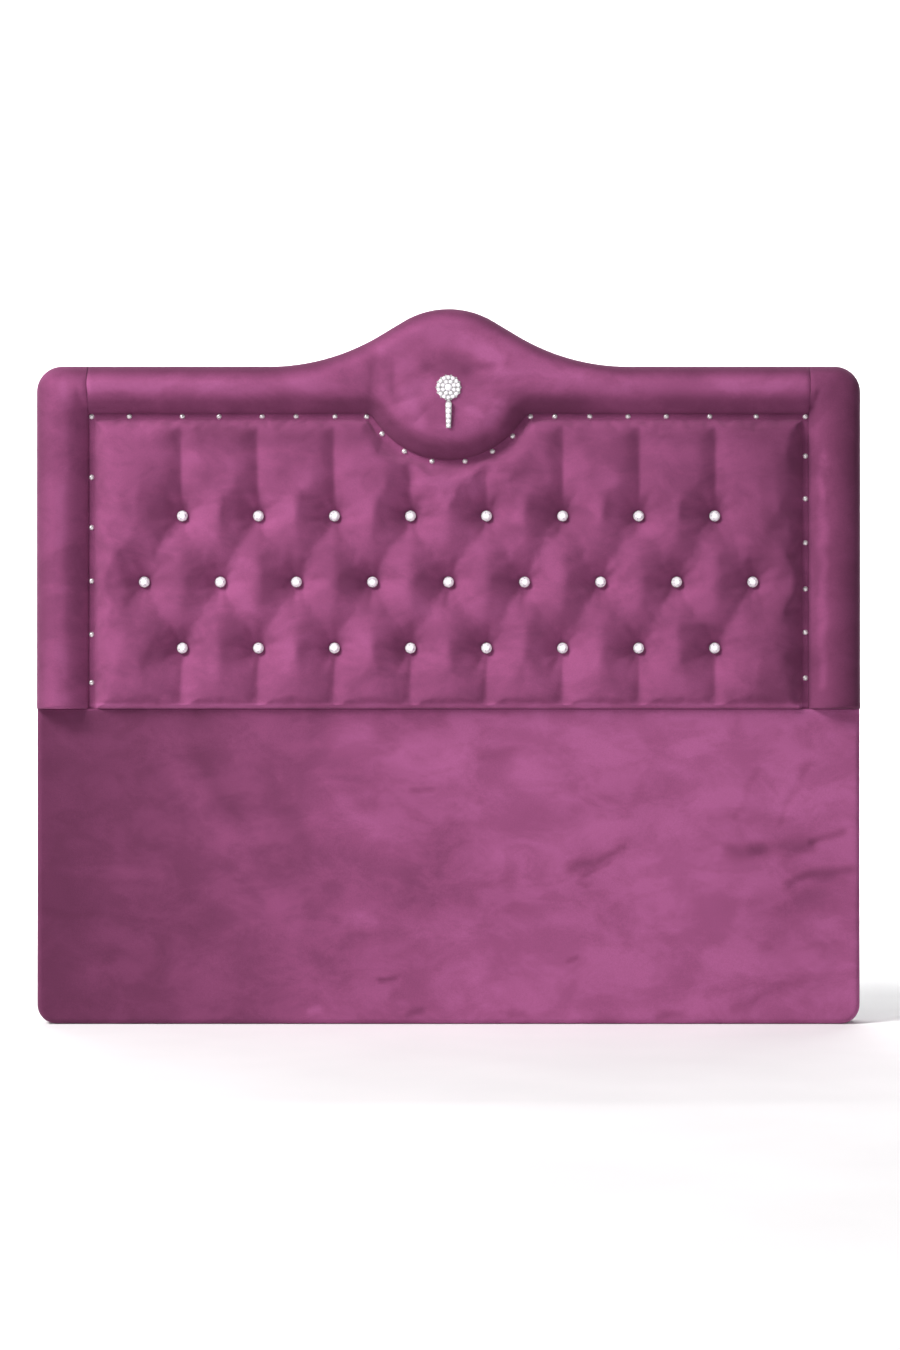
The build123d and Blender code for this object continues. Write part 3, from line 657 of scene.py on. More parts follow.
def wood_grain():
    """Long growth lines and pores for timber, plywood and dowels."""
    group, place, rings_scale = new_group("wood_grain", "Rings", 30.0)
    growth = {
        "Vector": place,
        "Scale": rings_scale,
        "Distortion": 5.0,
        "Detail": 3.0,
        "Detail Scale": 1.5,
    }
    rings = bands(group, growth, "X")
    pores = patches(group, stretched(group, place, (900.0, 900.0, 40.0)), 1.0, 3.0)
    height = computed(group, "ADD", rings, pores)
    return put_out(group, {"Rings": rings, "Pores": pores, "Height": height})


def metal_marks():
    """Fine handling marks and dullness for plated metal."""
    group, place, scale = new_group("metal_marks", "Scale", 300.0)
    masks = {
        "Dullness": patches(group, place, scale, 4.0, 0.6),
        "Height": patches(group, place, 2400.0, 2.0),
    }
    return put_out(group, masks)


def masks_from(tree, maker, place, setting, value):
    """Places a shared node group in a finish, made the first time it is asked for."""
    group = bpy.data.node_groups.get(maker.__name__) or maker()
    inputs = {"Vector": place, setting: value}
    return add_node(tree, "ShaderNodeGroup", inputs, node_tree=group).outputs


def new_finish(name):
    """An empty material with its shader and the object's own coordinates."""
    finish = bpy.data.materials.new(name)
    finish.use_nodes = True
    tree = finish.node_tree
    tree.nodes.clear()
    shader = add_node(tree, "ShaderNodeBsdfPrincipled")
    add_node(tree, "ShaderNodeOutputMaterial", {"Surface": shader.outputs["BSDF"]})
    coordinates = add_node(tree, "ShaderNodeTexCoord")
    return finish, tree, shader, coordinates.outputs["Object"]


def shared(name, maker, *values):
    """A finish that several pieces have, made the first time it is asked for."""
    return bpy.data.materials.get(name) or maker(name, *values)


# Ramp places of the dark, half shaded, main and bright colours, picked by the nap's patches and
# by painted shade and painted highlights
VELVET_TONE_STOPS = (0.0, 0.25, 0.65, 1.0)
LAID_NAP_AND_SHADE, RAISED_NAP_AND_LIGHT = -0.15, 0.30


def velvet_finish(name):
    """Plush velvet, darker or lighter as its nap marks, painted shade and painted highlights are
    painted on each piece.
    """
    velvet = bpy.context.scene.headboard_velvet
    finish, tree, shader, place = new_finish(name)
    nap = masks_from(tree, velvet_nap, place, "Cloud Scale", 4.2)
    # Painted value of each piece: nap marks plus painted shade and painted highlights
    nap_and_shading = painted(tree, "nap")
    average = 0.5 * (velvet.cloud_strength + velvet.brush_strength)
    marks = computed(tree, "MULTIPLY_ADD", nap["Brush Marks"], velvet.brush_strength, -average)
    clouds = computed(tree, "MULTIPLY_ADD", nap["Clouds"], velvet.cloud_strength, marks)
    # Where painted shade darkens the velvet, its patches are calmed
    calm = remapped(tree, nap_and_shading, (LAID_NAP_AND_SHADE, RAISED_NAP_AND_LIGHT), (0.45, 1.0))
    level = computed(tree, "ADD", nap_and_shading, average)
    brightness = computed(tree, "MULTIPLY_ADD", clouds, calm, level)
    # The ramp runs from painted shade colours to painted highlight colours as well as the nap's
    # own tones
    colours = (velvet.dark, velvet.shaded, velvet.middle, velvet.bright)
    shade = tone_ramp(tree, brightness, tuple(zip(VELVET_TONE_STOPS, colours)))
    fibres = grey_tone(tree, nap["Fibres"], (0.3, 0.7), (0.86, 1.1))
    surface = {
        "Base Color": multiplied(tree, shade, fibres),
        "Normal": bumped(tree, nap["Pile"], 0.35, velvet.pile_depth),
        "Roughness": 0.92,
        "Specular IOR Level": 0.18,
        "Sheen Weight": velvet.sheen,
        "Sheen Roughness": 0.42,
        "Sheen Tint": (0.95, 0.55, 0.78, 1),
    }
    feed(tree, shader, surface)
    return finish


def wood_finish(name, pale, dark, rings, roughness):
    """Planed wood with its growth lines along the length."""
    finish, tree, shader, place = new_finish(name)
    grain = masks_from(tree, wood_grain, place, "Rings", rings)
    tone = tone_ramp(tree, grain["Rings"], ((0.15, dark), (0.75, pale)))
    pores = grey_tone(tree, grain["Pores"], (0.35, 0.55), (0.78, 1.0))
    surface = {
        "Base Color": multiplied(tree, tone, pores),
        "Normal": bumped(tree, grain["Height"], 0.3, 0.0004),
        "Roughness": roughness,
    }
    feed(tree, shader, surface)
    return finish


def metal_finish(name, colour, roughness, scale, plating):
    """Plated metal with faint handling marks, from pale plating 0 to bare metal 1."""
    finish, tree, shader, place = new_finish(name)
    marks = masks_from(tree, metal_marks, place, "Scale", scale)
    darker = tuple(share * 0.82 for share in colour)
    surface = {
        "Base Color": tone_ramp(tree, marks["Dullness"], ((0.3, darker), (0.7, colour))),
        "Roughness": remapped(tree, marks["Dullness"], (0.3, 0.7), roughness),
        "Normal": bumped(tree, marks["Height"], 0.08, 0.0001),
        "Metallic": plating,
    }
    feed(tree, shader, surface)
    return finish


def nickel_finish():
    """Polished nickel of the nails, cups and rosette."""
    return shared("polished_nickel", metal_finish, (0.90, 0.86, 0.87), (0.16, 0.32), 260.0, 0.55)


# Painted glints: each facet gets its own brightness, the front facets the brightest
FACET_GLINT_TONES = (
    (0.0, (0.50, 0.46, 0.53)),
    (0.35, (0.86, 0.83, 0.88)),
    (1.0, (1.0, 0.985, 0.99)),
)


def crystal_finish(name):
    """Foiled crystal, brightened by painted glints on its facets and a faint painted glow of its
    own.
    """
    finish, tree, shader, place = new_finish(name)
    tone = tone_ramp(tree, painted(tree, "facet"), FACET_GLINT_TONES)
    surface = {
        "Base Color": tone,
        "Roughness": remapped(tree, patches(tree, place, 500.0, 2.0), (0.0, 1.0), (0.02, 0.10)),
        "IOR": 1.55,
        "Transmission Weight": 0.06,
        "Coat Weight": 1.0,
        "Coat Roughness": 0.02,
        # Painted glow: the crystals give off light of their own though they are no lamp
        "Emission Color": tone,
        "Emission Strength": 0.16,
    }
    feed(tree, shader, surface)
    return finish


def twine_finish(name):
    """Waxed twine with a tight twist."""
    finish, tree, shader, place = new_finish(name)
    twist = bands(tree, {"Vector": place, "Scale": 700.0, "Distortion": 1.5}, "DIAGONAL")
    tone = tone_ramp(tree, twist, ((0.2, (0.52, 0.46, 0.36)), (0.8, (0.80, 0.75, 0.66))))
    surface = {
        "Base Color": tone,
        "Normal": bumped(tree, twist, 0.5, 0.0003),
        "Roughness": 0.62,
    }
    feed(tree, shader, surface)
    return finish


def back_cloth_finish(name):
    """Black non-woven cloth with pressed spots."""
    finish, tree, shader, place = new_finish(name)
    fibres = patches(tree, place, 900.0, 4.0, 0.75)
    clouds = patches(tree, place, 6.0, 3.0)
    fibre_stops = ((0.35, (0.012, 0.012, 0.013)), (0.7, (0.045, 0.045, 0.048)))
    fibre_tone = tone_ramp(tree, fibres, fibre_stops)
    cloud_tone = tone_ramp(tree, clouds, ((0.3, (0.75, 0.75, 0.75)), (0.7, (1.0, 1.0, 1.0))))
    surface = {
        "Base Color": multiplied(tree, fibre_tone, cloud_tone),
        "Normal": bumped(tree, spots(tree, place, 420.0, 0.25), 0.5, 0.0003),
        "Roughness": 0.88,
    }
    feed(tree, shader, surface)
    return finish


def paper_finish(name):
    """Pale paper of the floor and the backdrop."""
    finish, tree, shader, place = new_finish(name)
    fibre = patches(tree, place, 3.0, 2.0)
    tone = tone_ramp(tree, fibre, ((0.3, (0.86, 0.855, 0.86)), (0.7, (0.90, 0.895, 0.90))))
    feed(tree, shader, {"Base Color": tone, "Roughness": 0.9})
    return finish


# Sizes and colours that a maker would change

class HeadboardVelvet(PropertyGroup):
    """Colours and pile of the velvet; its bright and dark colours also serve as painted highlight
    and painted shade.
    """

    # Bright, half shaded and dark are picked by painted highlights and painted shade as well as
    # by the nap's own patches
    bright: FloatVectorProperty(
        name="Brushed up",
        description="Colour of the velvet where its nap faces the light",
        subtype="COLOR",
        size=3,
        default=(0.380, 0.101, 0.251),
    )
    middle: FloatVectorProperty(
        name="Velvet",
        description="Main colour of the velvet",
        subtype="COLOR",
        size=3,
        default=(0.275, 0.067, 0.172),
    )
    shaded: FloatVectorProperty(
        name="Half shaded",
        description="Colour of the velvet between its main colour and brushed down",
        subtype="COLOR",
        size=3,
        default=(0.150, 0.0345, 0.091),
    )
    dark: FloatVectorProperty(
        name="Brushed down",
        description="Colour of the velvet where its nap lies away from the light",
        subtype="COLOR",
        size=3,
        default=(0.102, 0.022, 0.060),
    )
    pile_depth: FloatProperty(
        name="Pile",
        description="Depth of the velvet's pile",
        unit="LENGTH",
        default=0.0006,
        min=0.0,
    )
    cloud_strength: FloatProperty(
        name="Soft patches",
        description="How strongly soft patches of the nap stand out",
        default=0.62,
        min=0.0,
        max=2.0,
    )
    brush_strength: FloatProperty(
        name="Brush marks",
        description="How strongly brushed places stand out",
        default=0.24,
        min=0.0,
        max=1.0,
    )
    sheen: FloatProperty(
        name="Sheen",
        description="Strength of the soft gloss along the velvet's edges",
        subtype="FACTOR",
        default=0.25,
        min=0.0,
        max=1.0,
    )


class HeadboardTufting(PropertyGroup):
    """How deep the tufted panel is pulled in."""

    button_pull: FloatProperty(
        name="Button pull",
        description="How far the buttons pull the velvet in from the pillows' crown",
        unit="LENGTH",
        default=PILLOW_FRONT - (REAR - button_box[1].y) + 0.003,
    )
    diagonal_pleat: FloatProperty(
        name="Diagonal pleats",
        description="Depth of the pleats halfway between two buttons",
        unit="LENGTH",
        default=0.0075,
    )
    upright_pleat: FloatProperty(
        name="Upright pleats",
        description="Depth of the pleats above and below the buttons where they end",
        unit="LENGTH",
        default=0.009,
    )
    end_pleat: FloatProperty(
        name="End pleats",
        description="Depth of the pleats from the last buttons to the side borders",
        unit="LENGTH",
        default=0.004,
    )
    pillow_reach: FloatProperty(
        name="Pillow reach",
        description="Distance from a pleat to where its pillow is full",
        unit="LENGTH",
        default=0.064,
    )
    slack: FloatProperty(
        name="Slack",
        description="Spare velvet over the pillows, as a share of its width",
        subtype="FACTOR",
        default=0.012,
        min=0.0,
        max=0.2,
    )
    frames: IntProperty(
        name="Settling time",
        description="Steps in which the velvet settles over its filling",
        default=22,
        min=2,
    )


class HeadboardBorders(PropertyGroup):
    """Shape of the padded borders and the plain panel."""

    rounding: FloatProperty(
        name="Border rounding",
        description="Radius of the padded borders' outer edges",
        unit="LENGTH",
        default=0.038,
    )
    inner_width: FloatProperty(
        name="Inner rounding",
        description="Width over which the borders round off towards the tufted panel",
        unit="LENGTH",
        default=0.060,
    )
    inner_depth: FloatProperty(
        name="Inner depth",
        description="Depth to which the borders round off towards the tufted panel",
        unit="LENGTH",
        default=0.036,
    )
    foot_rounding: FloatProperty(
        name="Foot rounding",
        description="Radius where the side borders meet the seam",
        unit="LENGTH",
        default=0.007,
    )
    lower_rounding: FloatProperty(
        name="Lower rounding",
        description="Radius of the plain panel's edges",
        unit="LENGTH",
        default=0.012,
    )
    seam_rounding: FloatProperty(
        name="Seam rounding",
        description="Radius of the plain panel's edge along the seam",
        unit="LENGTH",
        default=0.003,
    )
    unevenness: FloatProperty(
        name="Unevenness",
        description="Height of the soft unevenness of the padding",
        unit="LENGTH",
        default=0.0012,
    )


class HeadboardRoom(PropertyGroup):
    """Camera and light."""

    camera_distance: FloatProperty(
        name="Camera distance",
        description="Distance from the camera to the front of the borders",
        unit="LENGTH",
        default=5.5,
    )
    camera_height: FloatProperty(
        name="Camera height",
        description="Height of the camera over the floor",
        unit="LENGTH",
        default=0.6785,
    )
    frame_height: FloatProperty(
        name="Frame height",
        description="Height of the picture at the headboard",
        unit="LENGTH",
        default=2.6245,
    )
    key_power: FloatProperty(
        name="Key light",
        description="Power of the soft light from the upper left",
        unit="POWER",
        default=1060.0,
    )
    fill_power: FloatProperty(
        name="Fill light",
        description="Power of the wide light in front",
        unit="POWER",
        default=24.0,
    )
    backdrop_power: FloatProperty(
        name="Backdrop light",
        description="Power of the light that falls on the backdrop only",
        unit="POWER",
        default=900.0,
    )
    daylight: FloatProperty(
        name="Room light",
        description="Strength of the even light all round",
        default=0.20,
    )


def pleats():
    """Every pleat as its start at a button, its end, its kind and whether it ends at a button."""
    top_row, middle_row, low_row = (
        [spot for spot in BUTTONS if spot[1] == height] for height, _ in BUTTON_ROWS
    )
    found = []
    for row in (top_row, low_row):
        for start in middle_row:
            for end in row:
                if abs(start[0] - end[0]) < BUTTON_PITCH * 0.6:
                    found.append((start, end, "diagonal", True))
    for across, height in top_row:
        top = underside_height(across) - STRIP_WIDTH
        found.append(((across, height), (across, top), "upright", False))
    for across, height in low_row:
        found.append(((across, height), (across, UNIT_FOOT), "upright", False))
    for side, spot in ((-1, middle_row[0]), (1, middle_row[-1])):
        found.append((spot, (side * PILLOW_HALF, spot[1]), "end", False))
    return found


PLEATS = pleats()

# How the pillows fall to the panel's edges, and how hollow each slope is
EDGE_SLOPE = 0.038
EDGE_HOLLOW = 2.3
FOOT_SLOPE = 0.026
FOOT_FALL = 0.020
FOOT_HOLLOW = 2.2

# Each kind of pleat: how far its pillows reach at its far end, over what length the pull of its
# button fades, and how round its valley gets
PLEAT_KINDS = {
    "diagonal": (0.052, 0.024, 0.0100),
    "upright": (0.036, 0.042, 0.0035),
    "end": (0.030, 0.030, 0.0080),
}
PLEAT_BAND = 0.08
PLEAT_RUN = 0.150
PLEAT_VALLEY = 0.0012
PLEAT_HOLLOW = 1.9
UPRIGHT_CREASE = 0.3
ON_PLEAT = 0.0008

# The dimple round each button, its flat seat, and how tightly the dips run into each other
DIMPLE_RADIUS = 0.072
DIMPLE_STRETCH = 1.35
DIMPLE_HOLLOW = 1.8
SEAT_RADIUS = 0.0125
DIP_SHARPNESS = 3.5
PADDING_UNEVENNESS = 0.0016

# What holds the velvet while it settles, how hard the filling presses and how far it may move
HELD_BUTTON = 0.0140
HELD_EDGE = STRIP_WIDTH + 0.003
HELD_FOOT = 0.005
HELD_PLEAT = 0.0015
FILLING_PRESSURE = 2.5
SETTLING_LIMIT = 0.008


def rim_dip(across, height):
    """How far the pillows are drawn in along the panel's edges and under the lobe."""
    side_fall = PILLOW_FRONT - CHANNEL_FLOOR
    flat_reach = math.hypot(max(0.0, FILLET_ACROSS - abs(across)), UNDERSIDE - height)
    lobe_reach = math.hypot(across, LOBE_HEIGHT - height) - LOBE_RADIUS
    dips = []
    for reach in (UNIT_HALF - abs(across), flat_reach, lobe_reach):
        share = min(1.0, max(0.0, (reach - STRIP_WIDTH - VELVET) / EDGE_SLOPE))
        dips.append(side_fall * (1 - share) ** EDGE_HOLLOW)
    foot_share = min(1.0, (height - UNIT_FOOT) / FOOT_SLOPE)
    dips.append(FOOT_FALL * (1 - foot_share) ** FOOT_HOLLOW)
    return max(dips)


def nearest_button(across, height):
    """The button nearest to a place."""
    return min(BUTTONS, key=lambda spot: math.hypot(across - spot[0], height - spot[1]))


def tufted_depth(tufting):
    """Gives the function from a place on the tufted panel to the velvet's depth there."""
    rests = {
        "diagonal": tufting.diagonal_pleat,
        "upright": tufting.upright_pleat,
        "end": tufting.end_pleat,
    }

    def depth(across, height):
        dips = [rim_dip(across, height)]
        for start, end, kind, buttoned in PLEATS:
            if min(start[0], end[0]) - PLEAT_BAND > across:
                continue
            if max(start[0], end[0]) + PLEAT_BAND < across:
                continue
            gap, share = segment_reach(across, height, start, end)
            length = math.hypot(end[0] - start[0], end[1] - start[1])
            along = share * length
            if buttoned:
                along = min(along, length - along)
            far_reach, fading, roundness = PLEAT_KINDS[kind]
            near_reach = tufting.pillow_reach
            reach = near_reach + (far_reach - near_reach) * ease(along, 0.0, PLEAT_RUN)
            if gap >= reach:
                continue
            valley = roundness * ease(along, 0.010, 0.060) + PLEAT_VALLEY
            gap = math.hypot(gap, valley) - valley
            pulled = math.exp(-along / fading)
            pull = rests[kind] + (tufting.button_pull - rests[kind]) * pulled
            dips.append(pull * (1 - gap / reach) ** PLEAT_HOLLOW)
        button = nearest_button(across, height)
        from_button = math.hypot(across - button[0], (height - button[1]) / DIMPLE_STRETCH)
        if from_button < DIMPLE_RADIUS:
            full = 1 - from_button / DIMPLE_RADIUS
            dips.append(tufting.button_pull * full**DIMPLE_HOLLOW)
        total = sum(dip**DIP_SHARPNESS for dip in dips) ** (1 / DIP_SHARPNESS)
        if from_button < SEAT_RADIUS:
            total = tufting.button_pull
        uneven = PADDING_UNEVENNESS * (1 + ripple(across, height, 0.16, 3.1))
        swell = min(1.0, max(0.0, (PILLOW_FRONT - 0.002 - CHANNEL_FLOOR - total) / 0.02))
        return PILLOW_FRONT - min(total, tufting.button_pull) - uneven * swell

    return depth


def tufted_held(across, height):
    """How firmly the tufted velvet is held at a place: buttons, nails and pleats."""
    button = nearest_button(across, height)
    if math.hypot(across - button[0], height - button[1]) < HELD_BUTTON:
        return 1.0
    lobe_reach = math.hypot(across, LOBE_HEIGHT - height) - LOBE_RADIUS
    edge = min(UNIT_HALF - abs(across), UNDERSIDE - height, lobe_reach)
    if edge < HELD_EDGE or height - UNIT_FOOT < HELD_FOOT:
        return 1.0
    for start, end, _, _ in PLEATS:
        if segment_reach(across, height, start, end)[0] < HELD_PLEAT:
            return 0.9
    return 0.0


def crease_pleats(piece):
    """Joins the grid along the pleats, and keeps the upright ones crisp when it is doubled."""
    shape = opened(piece)
    on_pleat = {}
    for vert in shape.verts:
        for number, (start, end, _, _) in enumerate(PLEATS):
            if segment_reach(vert.co.x, vert.co.z, start, end)[0] < ON_PLEAT:
                on_pleat.setdefault(number, []).append(vert)
    for verts in on_pleat.values():
        bmesh.ops.connect_verts(shape, verts=verts)
    crease = shape.edges.layers.float.new("crease_edge")
    upright = [(start, end) for start, end, kind, _ in PLEATS if kind == "upright"]
    for edge in shape.edges:
        line = edge.verts[1].co - edge.verts[0].co
        if abs(line.z) < 0.9 * math.hypot(line.x, line.z):
            continue
        middle = (edge.verts[0].co + edge.verts[1].co) / 2
        if any(segment_reach(middle.x, middle.z, *ends)[0] < ON_PLEAT for ends in upright):
            edge[crease] = UPRIGHT_CREASE
    closed(shape, piece)


# Wrinkles round the buttons, rumples between them, and the loose hem over the seam
WRINKLE_DEPTH = 0.0009
RUMPLE_DEPTH = 0.0008
HEM_HEIGHT = 0.0065
HEM_WIDTH = 0.0032
HEM_RISE = 0.0030


def tufted_wrinkle(across, height):
    """Small tension wrinkles round the buttons and a hem along the seam."""
    button = nearest_button(across, height)
    from_button = math.hypot(across - button[0], height - button[1])
    turn = math.atan2(height - button[1], across - button[0])
    seed = button[0] * 37 + button[1] * 91
    rays = math.sin(7 * turn + seed) + 0.6 * math.sin(11 * turn + 2.3 * seed)
    pulled = ease(from_button, 0.013, 0.022) * (1 - ease(from_button, 0.030, 0.075))
    wrinkle = WRINKLE_DEPTH * rays * pulled
    inside = ease(UNIT_HALF - abs(across), 0.014, 0.04) * ease(height - UNIT_FOOT, 0.006, 0.03)
    inside *= ease(underside_height(across) - height, 0.014, 0.04)
    rumple = ripple(across, height, 0.030, 8.4)
    wrinkle += RUMPLE_DEPTH * rumple * inside * ease(from_button, 0.013, 0.04)
    hem = math.exp(-(((height - UNIT_FOOT - HEM_HEIGHT) / HEM_WIDTH) ** 2))
    hem *= ease(UNIT_HALF - abs(across), 0.012, 0.03)
    return wrinkle + HEM_RISE * hem * (0.75 + 0.35 * ripple(across, 0, 0.05, 5.2))


def unit_top(across):
    """The height of the tufted panel's upper edge."""
    return underside_height(across) - (UNDERSIDE - UNIT_TOP)


def unit_rim(across, height):
    """Outward directions along the tufted panel's rim, which is all joint."""
    out = Vector((0.0, 0.0))
    if abs(across) > UNIT_HALF - ON_EDGE:
        out.x = math.copysign(1, across)
    if height < UNIT_FOOT + ON_EDGE:
        out.y = -1
    elif abs(height - unit_top(across)) < ON_CURVED_EDGE:
        lean = underside_lean(across)
        out += Vector((-math.sin(lean), math.cos(lean)))
    return None, out


# Rows and columns of the tufted panel's grid, close together at its edges and even between
UNIT_EDGE_REACHES = (
    0.0,
    0.0052,
    STRIP_WIDTH + VELVET,
    0.0132,
    0.0152,
    0.0178,
    0.0212,
    0.0256,
)
UNIT_TOP_REACHES = (*UNIT_EDGE_REACHES, 0.032)
UNIT_FOOT_REACHES = (0.0, 0.002, 0.004, 0.0065, 0.009, 0.012, 0.0155, 0.020, 0.0255)
UNIT_EVEN_HALF = 0.666
UNIT_STEPS_ACROSS, UNIT_STEPS_UP = 24, 12
UNIT_STEPS_BELOW, UNIT_HEAD_STEPS = 8, 14

# Painted shade along the tufted panel's top under the top border, a darker band towards the right
# end and a lighter patch in the middle
UNIT_SHADE_STROKES = (
    ((0.640, 1.150), (0.640, 0.640), 0.090, -0.10),
    ((-0.540, 1.142), (-0.190, 1.140), 0.042, -0.22),
    ((0.210, 1.146), (0.600, 1.146), 0.036, -0.14),
    ((-0.080, 1.050), (0.060, 1.040), 0.045, 0.10),
)


def unit_lie(across, height):
    """The tufted panel's tone: darker towards the right end, painted shade beside the left border
    and a painted highlight along the hem.
    """
    tone = 0.16 - 0.14 * ease(across, 0.30, 0.72)
    tone -= 0.10 * (1 - ease(UNIT_HALF + across, 0.010, 0.050))
    hem = math.exp(-(((height - UNIT_FOOT - 0.006) / 0.005) ** 2))
    return tone + 0.30 * hem * (1 + 0.5 * ripple(across, 0.0, 0.06, 4.4))


class HEADBOARD_OT_tufted_panel(Operator):
    """Makes the diamond-tufted velvet panel"""

    bl_idname = "headboard.tufted_panel"
    bl_label = "Tufted panel"

    def execute(self, context):
        tufting = context.scene.headboard_tufting
        step_across = BUTTON_PITCH / UNIT_STEPS_ACROSS
        even = round(UNIT_EVEN_HALF / step_across)
        columns = [place * step_across for place in range(-even, even + 1)]
        ends = [UNIT_HALF - reach for reach in UNIT_EDGE_REACHES]
        columns = [-end for end in ends] + columns + ends[::-1]
        top_button, middle_button, low_button = (height for height, _ in BUTTON_ROWS)
        step_up = (top_button - middle_button) / UNIT_STEPS_UP
        rows = [UNIT_FOOT + reach for reach in UNIT_FOOT_REACHES]
        steps = range(-UNIT_STEPS_BELOW, 2 * UNIT_STEPS_UP + 1)
        rows += [low_button + place * step_up for place in steps]
        rows += [("head", place / UNIT_HEAD_STEPS) for place in range(1, UNIT_HEAD_STEPS)]
        rows += [("edge", reach) for reach in reversed(UNIT_TOP_REACHES)]
        depth = tufted_depth(tufting)

        def place(across, row):
            if not isinstance(row, tuple):
                return across, row, depth(across, row)
            kind, value = row
            top = unit_top(across)
            tilt = math.cos(underside_lean(across))
            if kind == "edge":
                height = top - value / tilt
            else:
                height = top_button + (top - UNIT_TOP_REACHES[-1] / tilt - top_button) * value
            return across, height, depth(across, height)

        piece = front_sheet("tufted_panel", columns, rows, place)
        crease_pleats(piece)
        settle(
            piece, tufted_held, tufting.slack, FILLING_PRESSURE, tufting.frames, SETTLING_LIMIT
        )
        refine(piece)
        for vert in piece.data.vertices:
            vert.co.y -= tufted_wrinkle(vert.co.x, vert.co.z)
        finish_pad(
            piece,
            unit_rim,
            UNIT_WRAPS,
            UNIT_SHADE_STROKES,
            unit_lie,
            "tufted_velvet_cover",
            "tufted_foam",
        )
        return {"FINISHED"}


def corner_turned(across_reach, up_reach, radius):
    """Moves a point of a square corner onto a round one, given by its reaches."""
    if across_reach >= radius or up_reach >= radius:
        return across_reach, up_reach
    inner = (radius - across_reach, radius - up_reach)
    scale = max(inner) / max(math.hypot(*inner), NOTHING)
    return radius - inner[0] * scale, radius - inner[1] * scale


# The grids of the borders and the lower panel: the steps between rows or columns, and the
# number of steps round an edge
BORDER_ACROSS, BORDER_UP, INNER_STEP = 0.005, 0.006, 0.004
CREST_STEP, CREST_END_STEP, CREST_END, CREST_ROWS = 0.0045, 0.0065, 0.012, 72
LOWER_STEP = 0.0058
OUTER_TURNS, LOWER_TURNS, SMALL_TURNS = 12, 7, 5

# Where the top border's ends are sewn to the side borders
MITRE_DEPTH = 0.0034
MITRE_WIDTH = 0.010
MITRE_RISE = 0.045

# The bead of velvet along the side borders' feet
BEAD_RISE = 0.0012
BEAD_HEIGHT = 0.007
BEAD_WIDTH = 0.0035

BORDER_FOLDS = (
    ((0.701, 1.186), (0.722, 1.240), 0.012, 0.0040),
    ((0.706, 1.160), (0.748, 1.205), 0.010, 0.0016),
)


class HEADBOARD_OT_side_borders(Operator):
    """Makes the two padded side borders"""

    bl_idname = "headboard.side_borders"
    bl_label = "Side borders"

    def execute(self, context):
        borders = context.scene.headboard_borders
        for side, name in ((-1, "left"), (1, "right")):
            self.make_border(borders, side, name)
        return {"FINISHED"}

    def make_border(self, borders, side, name):
        turned = rounded_reaches(borders.rounding, OUTER_TURNS)
        inner = spaced(0.0, borders.inner_width, INNER_STEP)
        columns = from_both_sides(INNER_HALF, HALF_WIDTH, inner, turned, BORDER_ACROSS)
        foot = rounded_reaches(borders.foot_rounding, SMALL_TURNS)
        rows = from_both_sides(BORDER_FOOT, SHOULDER, foot, turned, BORDER_UP)
        if side < 0:
            columns = columns[::-1]
        deepest = max(borders.rounding, borders.inner_depth)

        def place(out, height):
            out_reach, top_reach = HALF_WIDTH - out, SHOULDER - height
            inner_reach, foot_reach = out - INNER_HALF, height - BORDER_FOOT
            silhouette = min(out_reach, top_reach)
            under_crest = ease(height, UNDERSIDE - 0.002, UNDERSIDE + MITRE_RISE)
            inner_fall = inward_roll(inner_reach, borders.inner_width, borders.inner_depth)
            inner_fall *= 1 - under_crest
            inner_fall += MITRE_DEPTH * max(0.0, 1 - inner_reach / MITRE_WIDTH) ** 2 * under_crest
            outer_fall = roll(silhouette, borders.rounding, borders.rounding)
            foot_fall = roll(foot_reach, borders.foot_rounding, borders.foot_rounding)
            fall = math.sqrt(outer_fall**2 + inner_fall**2 + foot_fall**2)
            uneven = ripple(out * side, height, 0.11, 1.7 + side)
            uneven += 0.5 * ripple(out * side, height, 0.035, 6.1)
            calm = ease(silhouette, 0.004, 0.03) * ease(foot_reach, 0, 0.03)
            fall += borders.unevenness * (0.8 + uneven) * calm
            fall += folded(out, height, BORDER_FOLDS)
            fall -= BEAD_RISE * math.exp(-(((foot_reach - BEAD_HEIGHT) / BEAD_WIDTH) ** 2))
            out_reach, top_reach = corner_turned(out_reach, top_reach, TOP_CORNER)
            depth = BORDER_FRONT - min(fall, deepest)
            return side * (HALF_WIDTH - out_reach), SHOULDER - top_reach, depth

        def rim(across, height):
            out = abs(across)
            silhouette, joint = None, None
            corner_across, corner_height = HALF_WIDTH - TOP_CORNER, SHOULDER - TOP_CORNER
            if out > corner_across and height > corner_height:
                turn = Vector((out - corner_across, height - corner_height)).normalized()
                silhouette = (side * turn.x, turn.y)
            elif out > HALF_WIDTH - ON_EDGE:
                silhouette = (side, 0)
            elif height > SHOULDER - ON_EDGE:
                silhouette = (0, 1)
            inward = Vector((0.0, 0.0))
            if out < INNER_HALF + ON_EDGE:
                inward.x = -side
            if height < BORDER_FOOT + ON_EDGE:
                inward.y = -1
            if inward.length > 0:
                joint = inward
            return silhouette, joint

        piece = front_sheet(f"{name}_border", columns, rows, place)
        cover, foam = f"{name}_bolster_cover", f"{name}_bolster_foam"
        finish_pad(piece, rim, BORDER_WRAPS, BORDER_HIGHLIGHT_STROKES, side_lie, cover, foam)


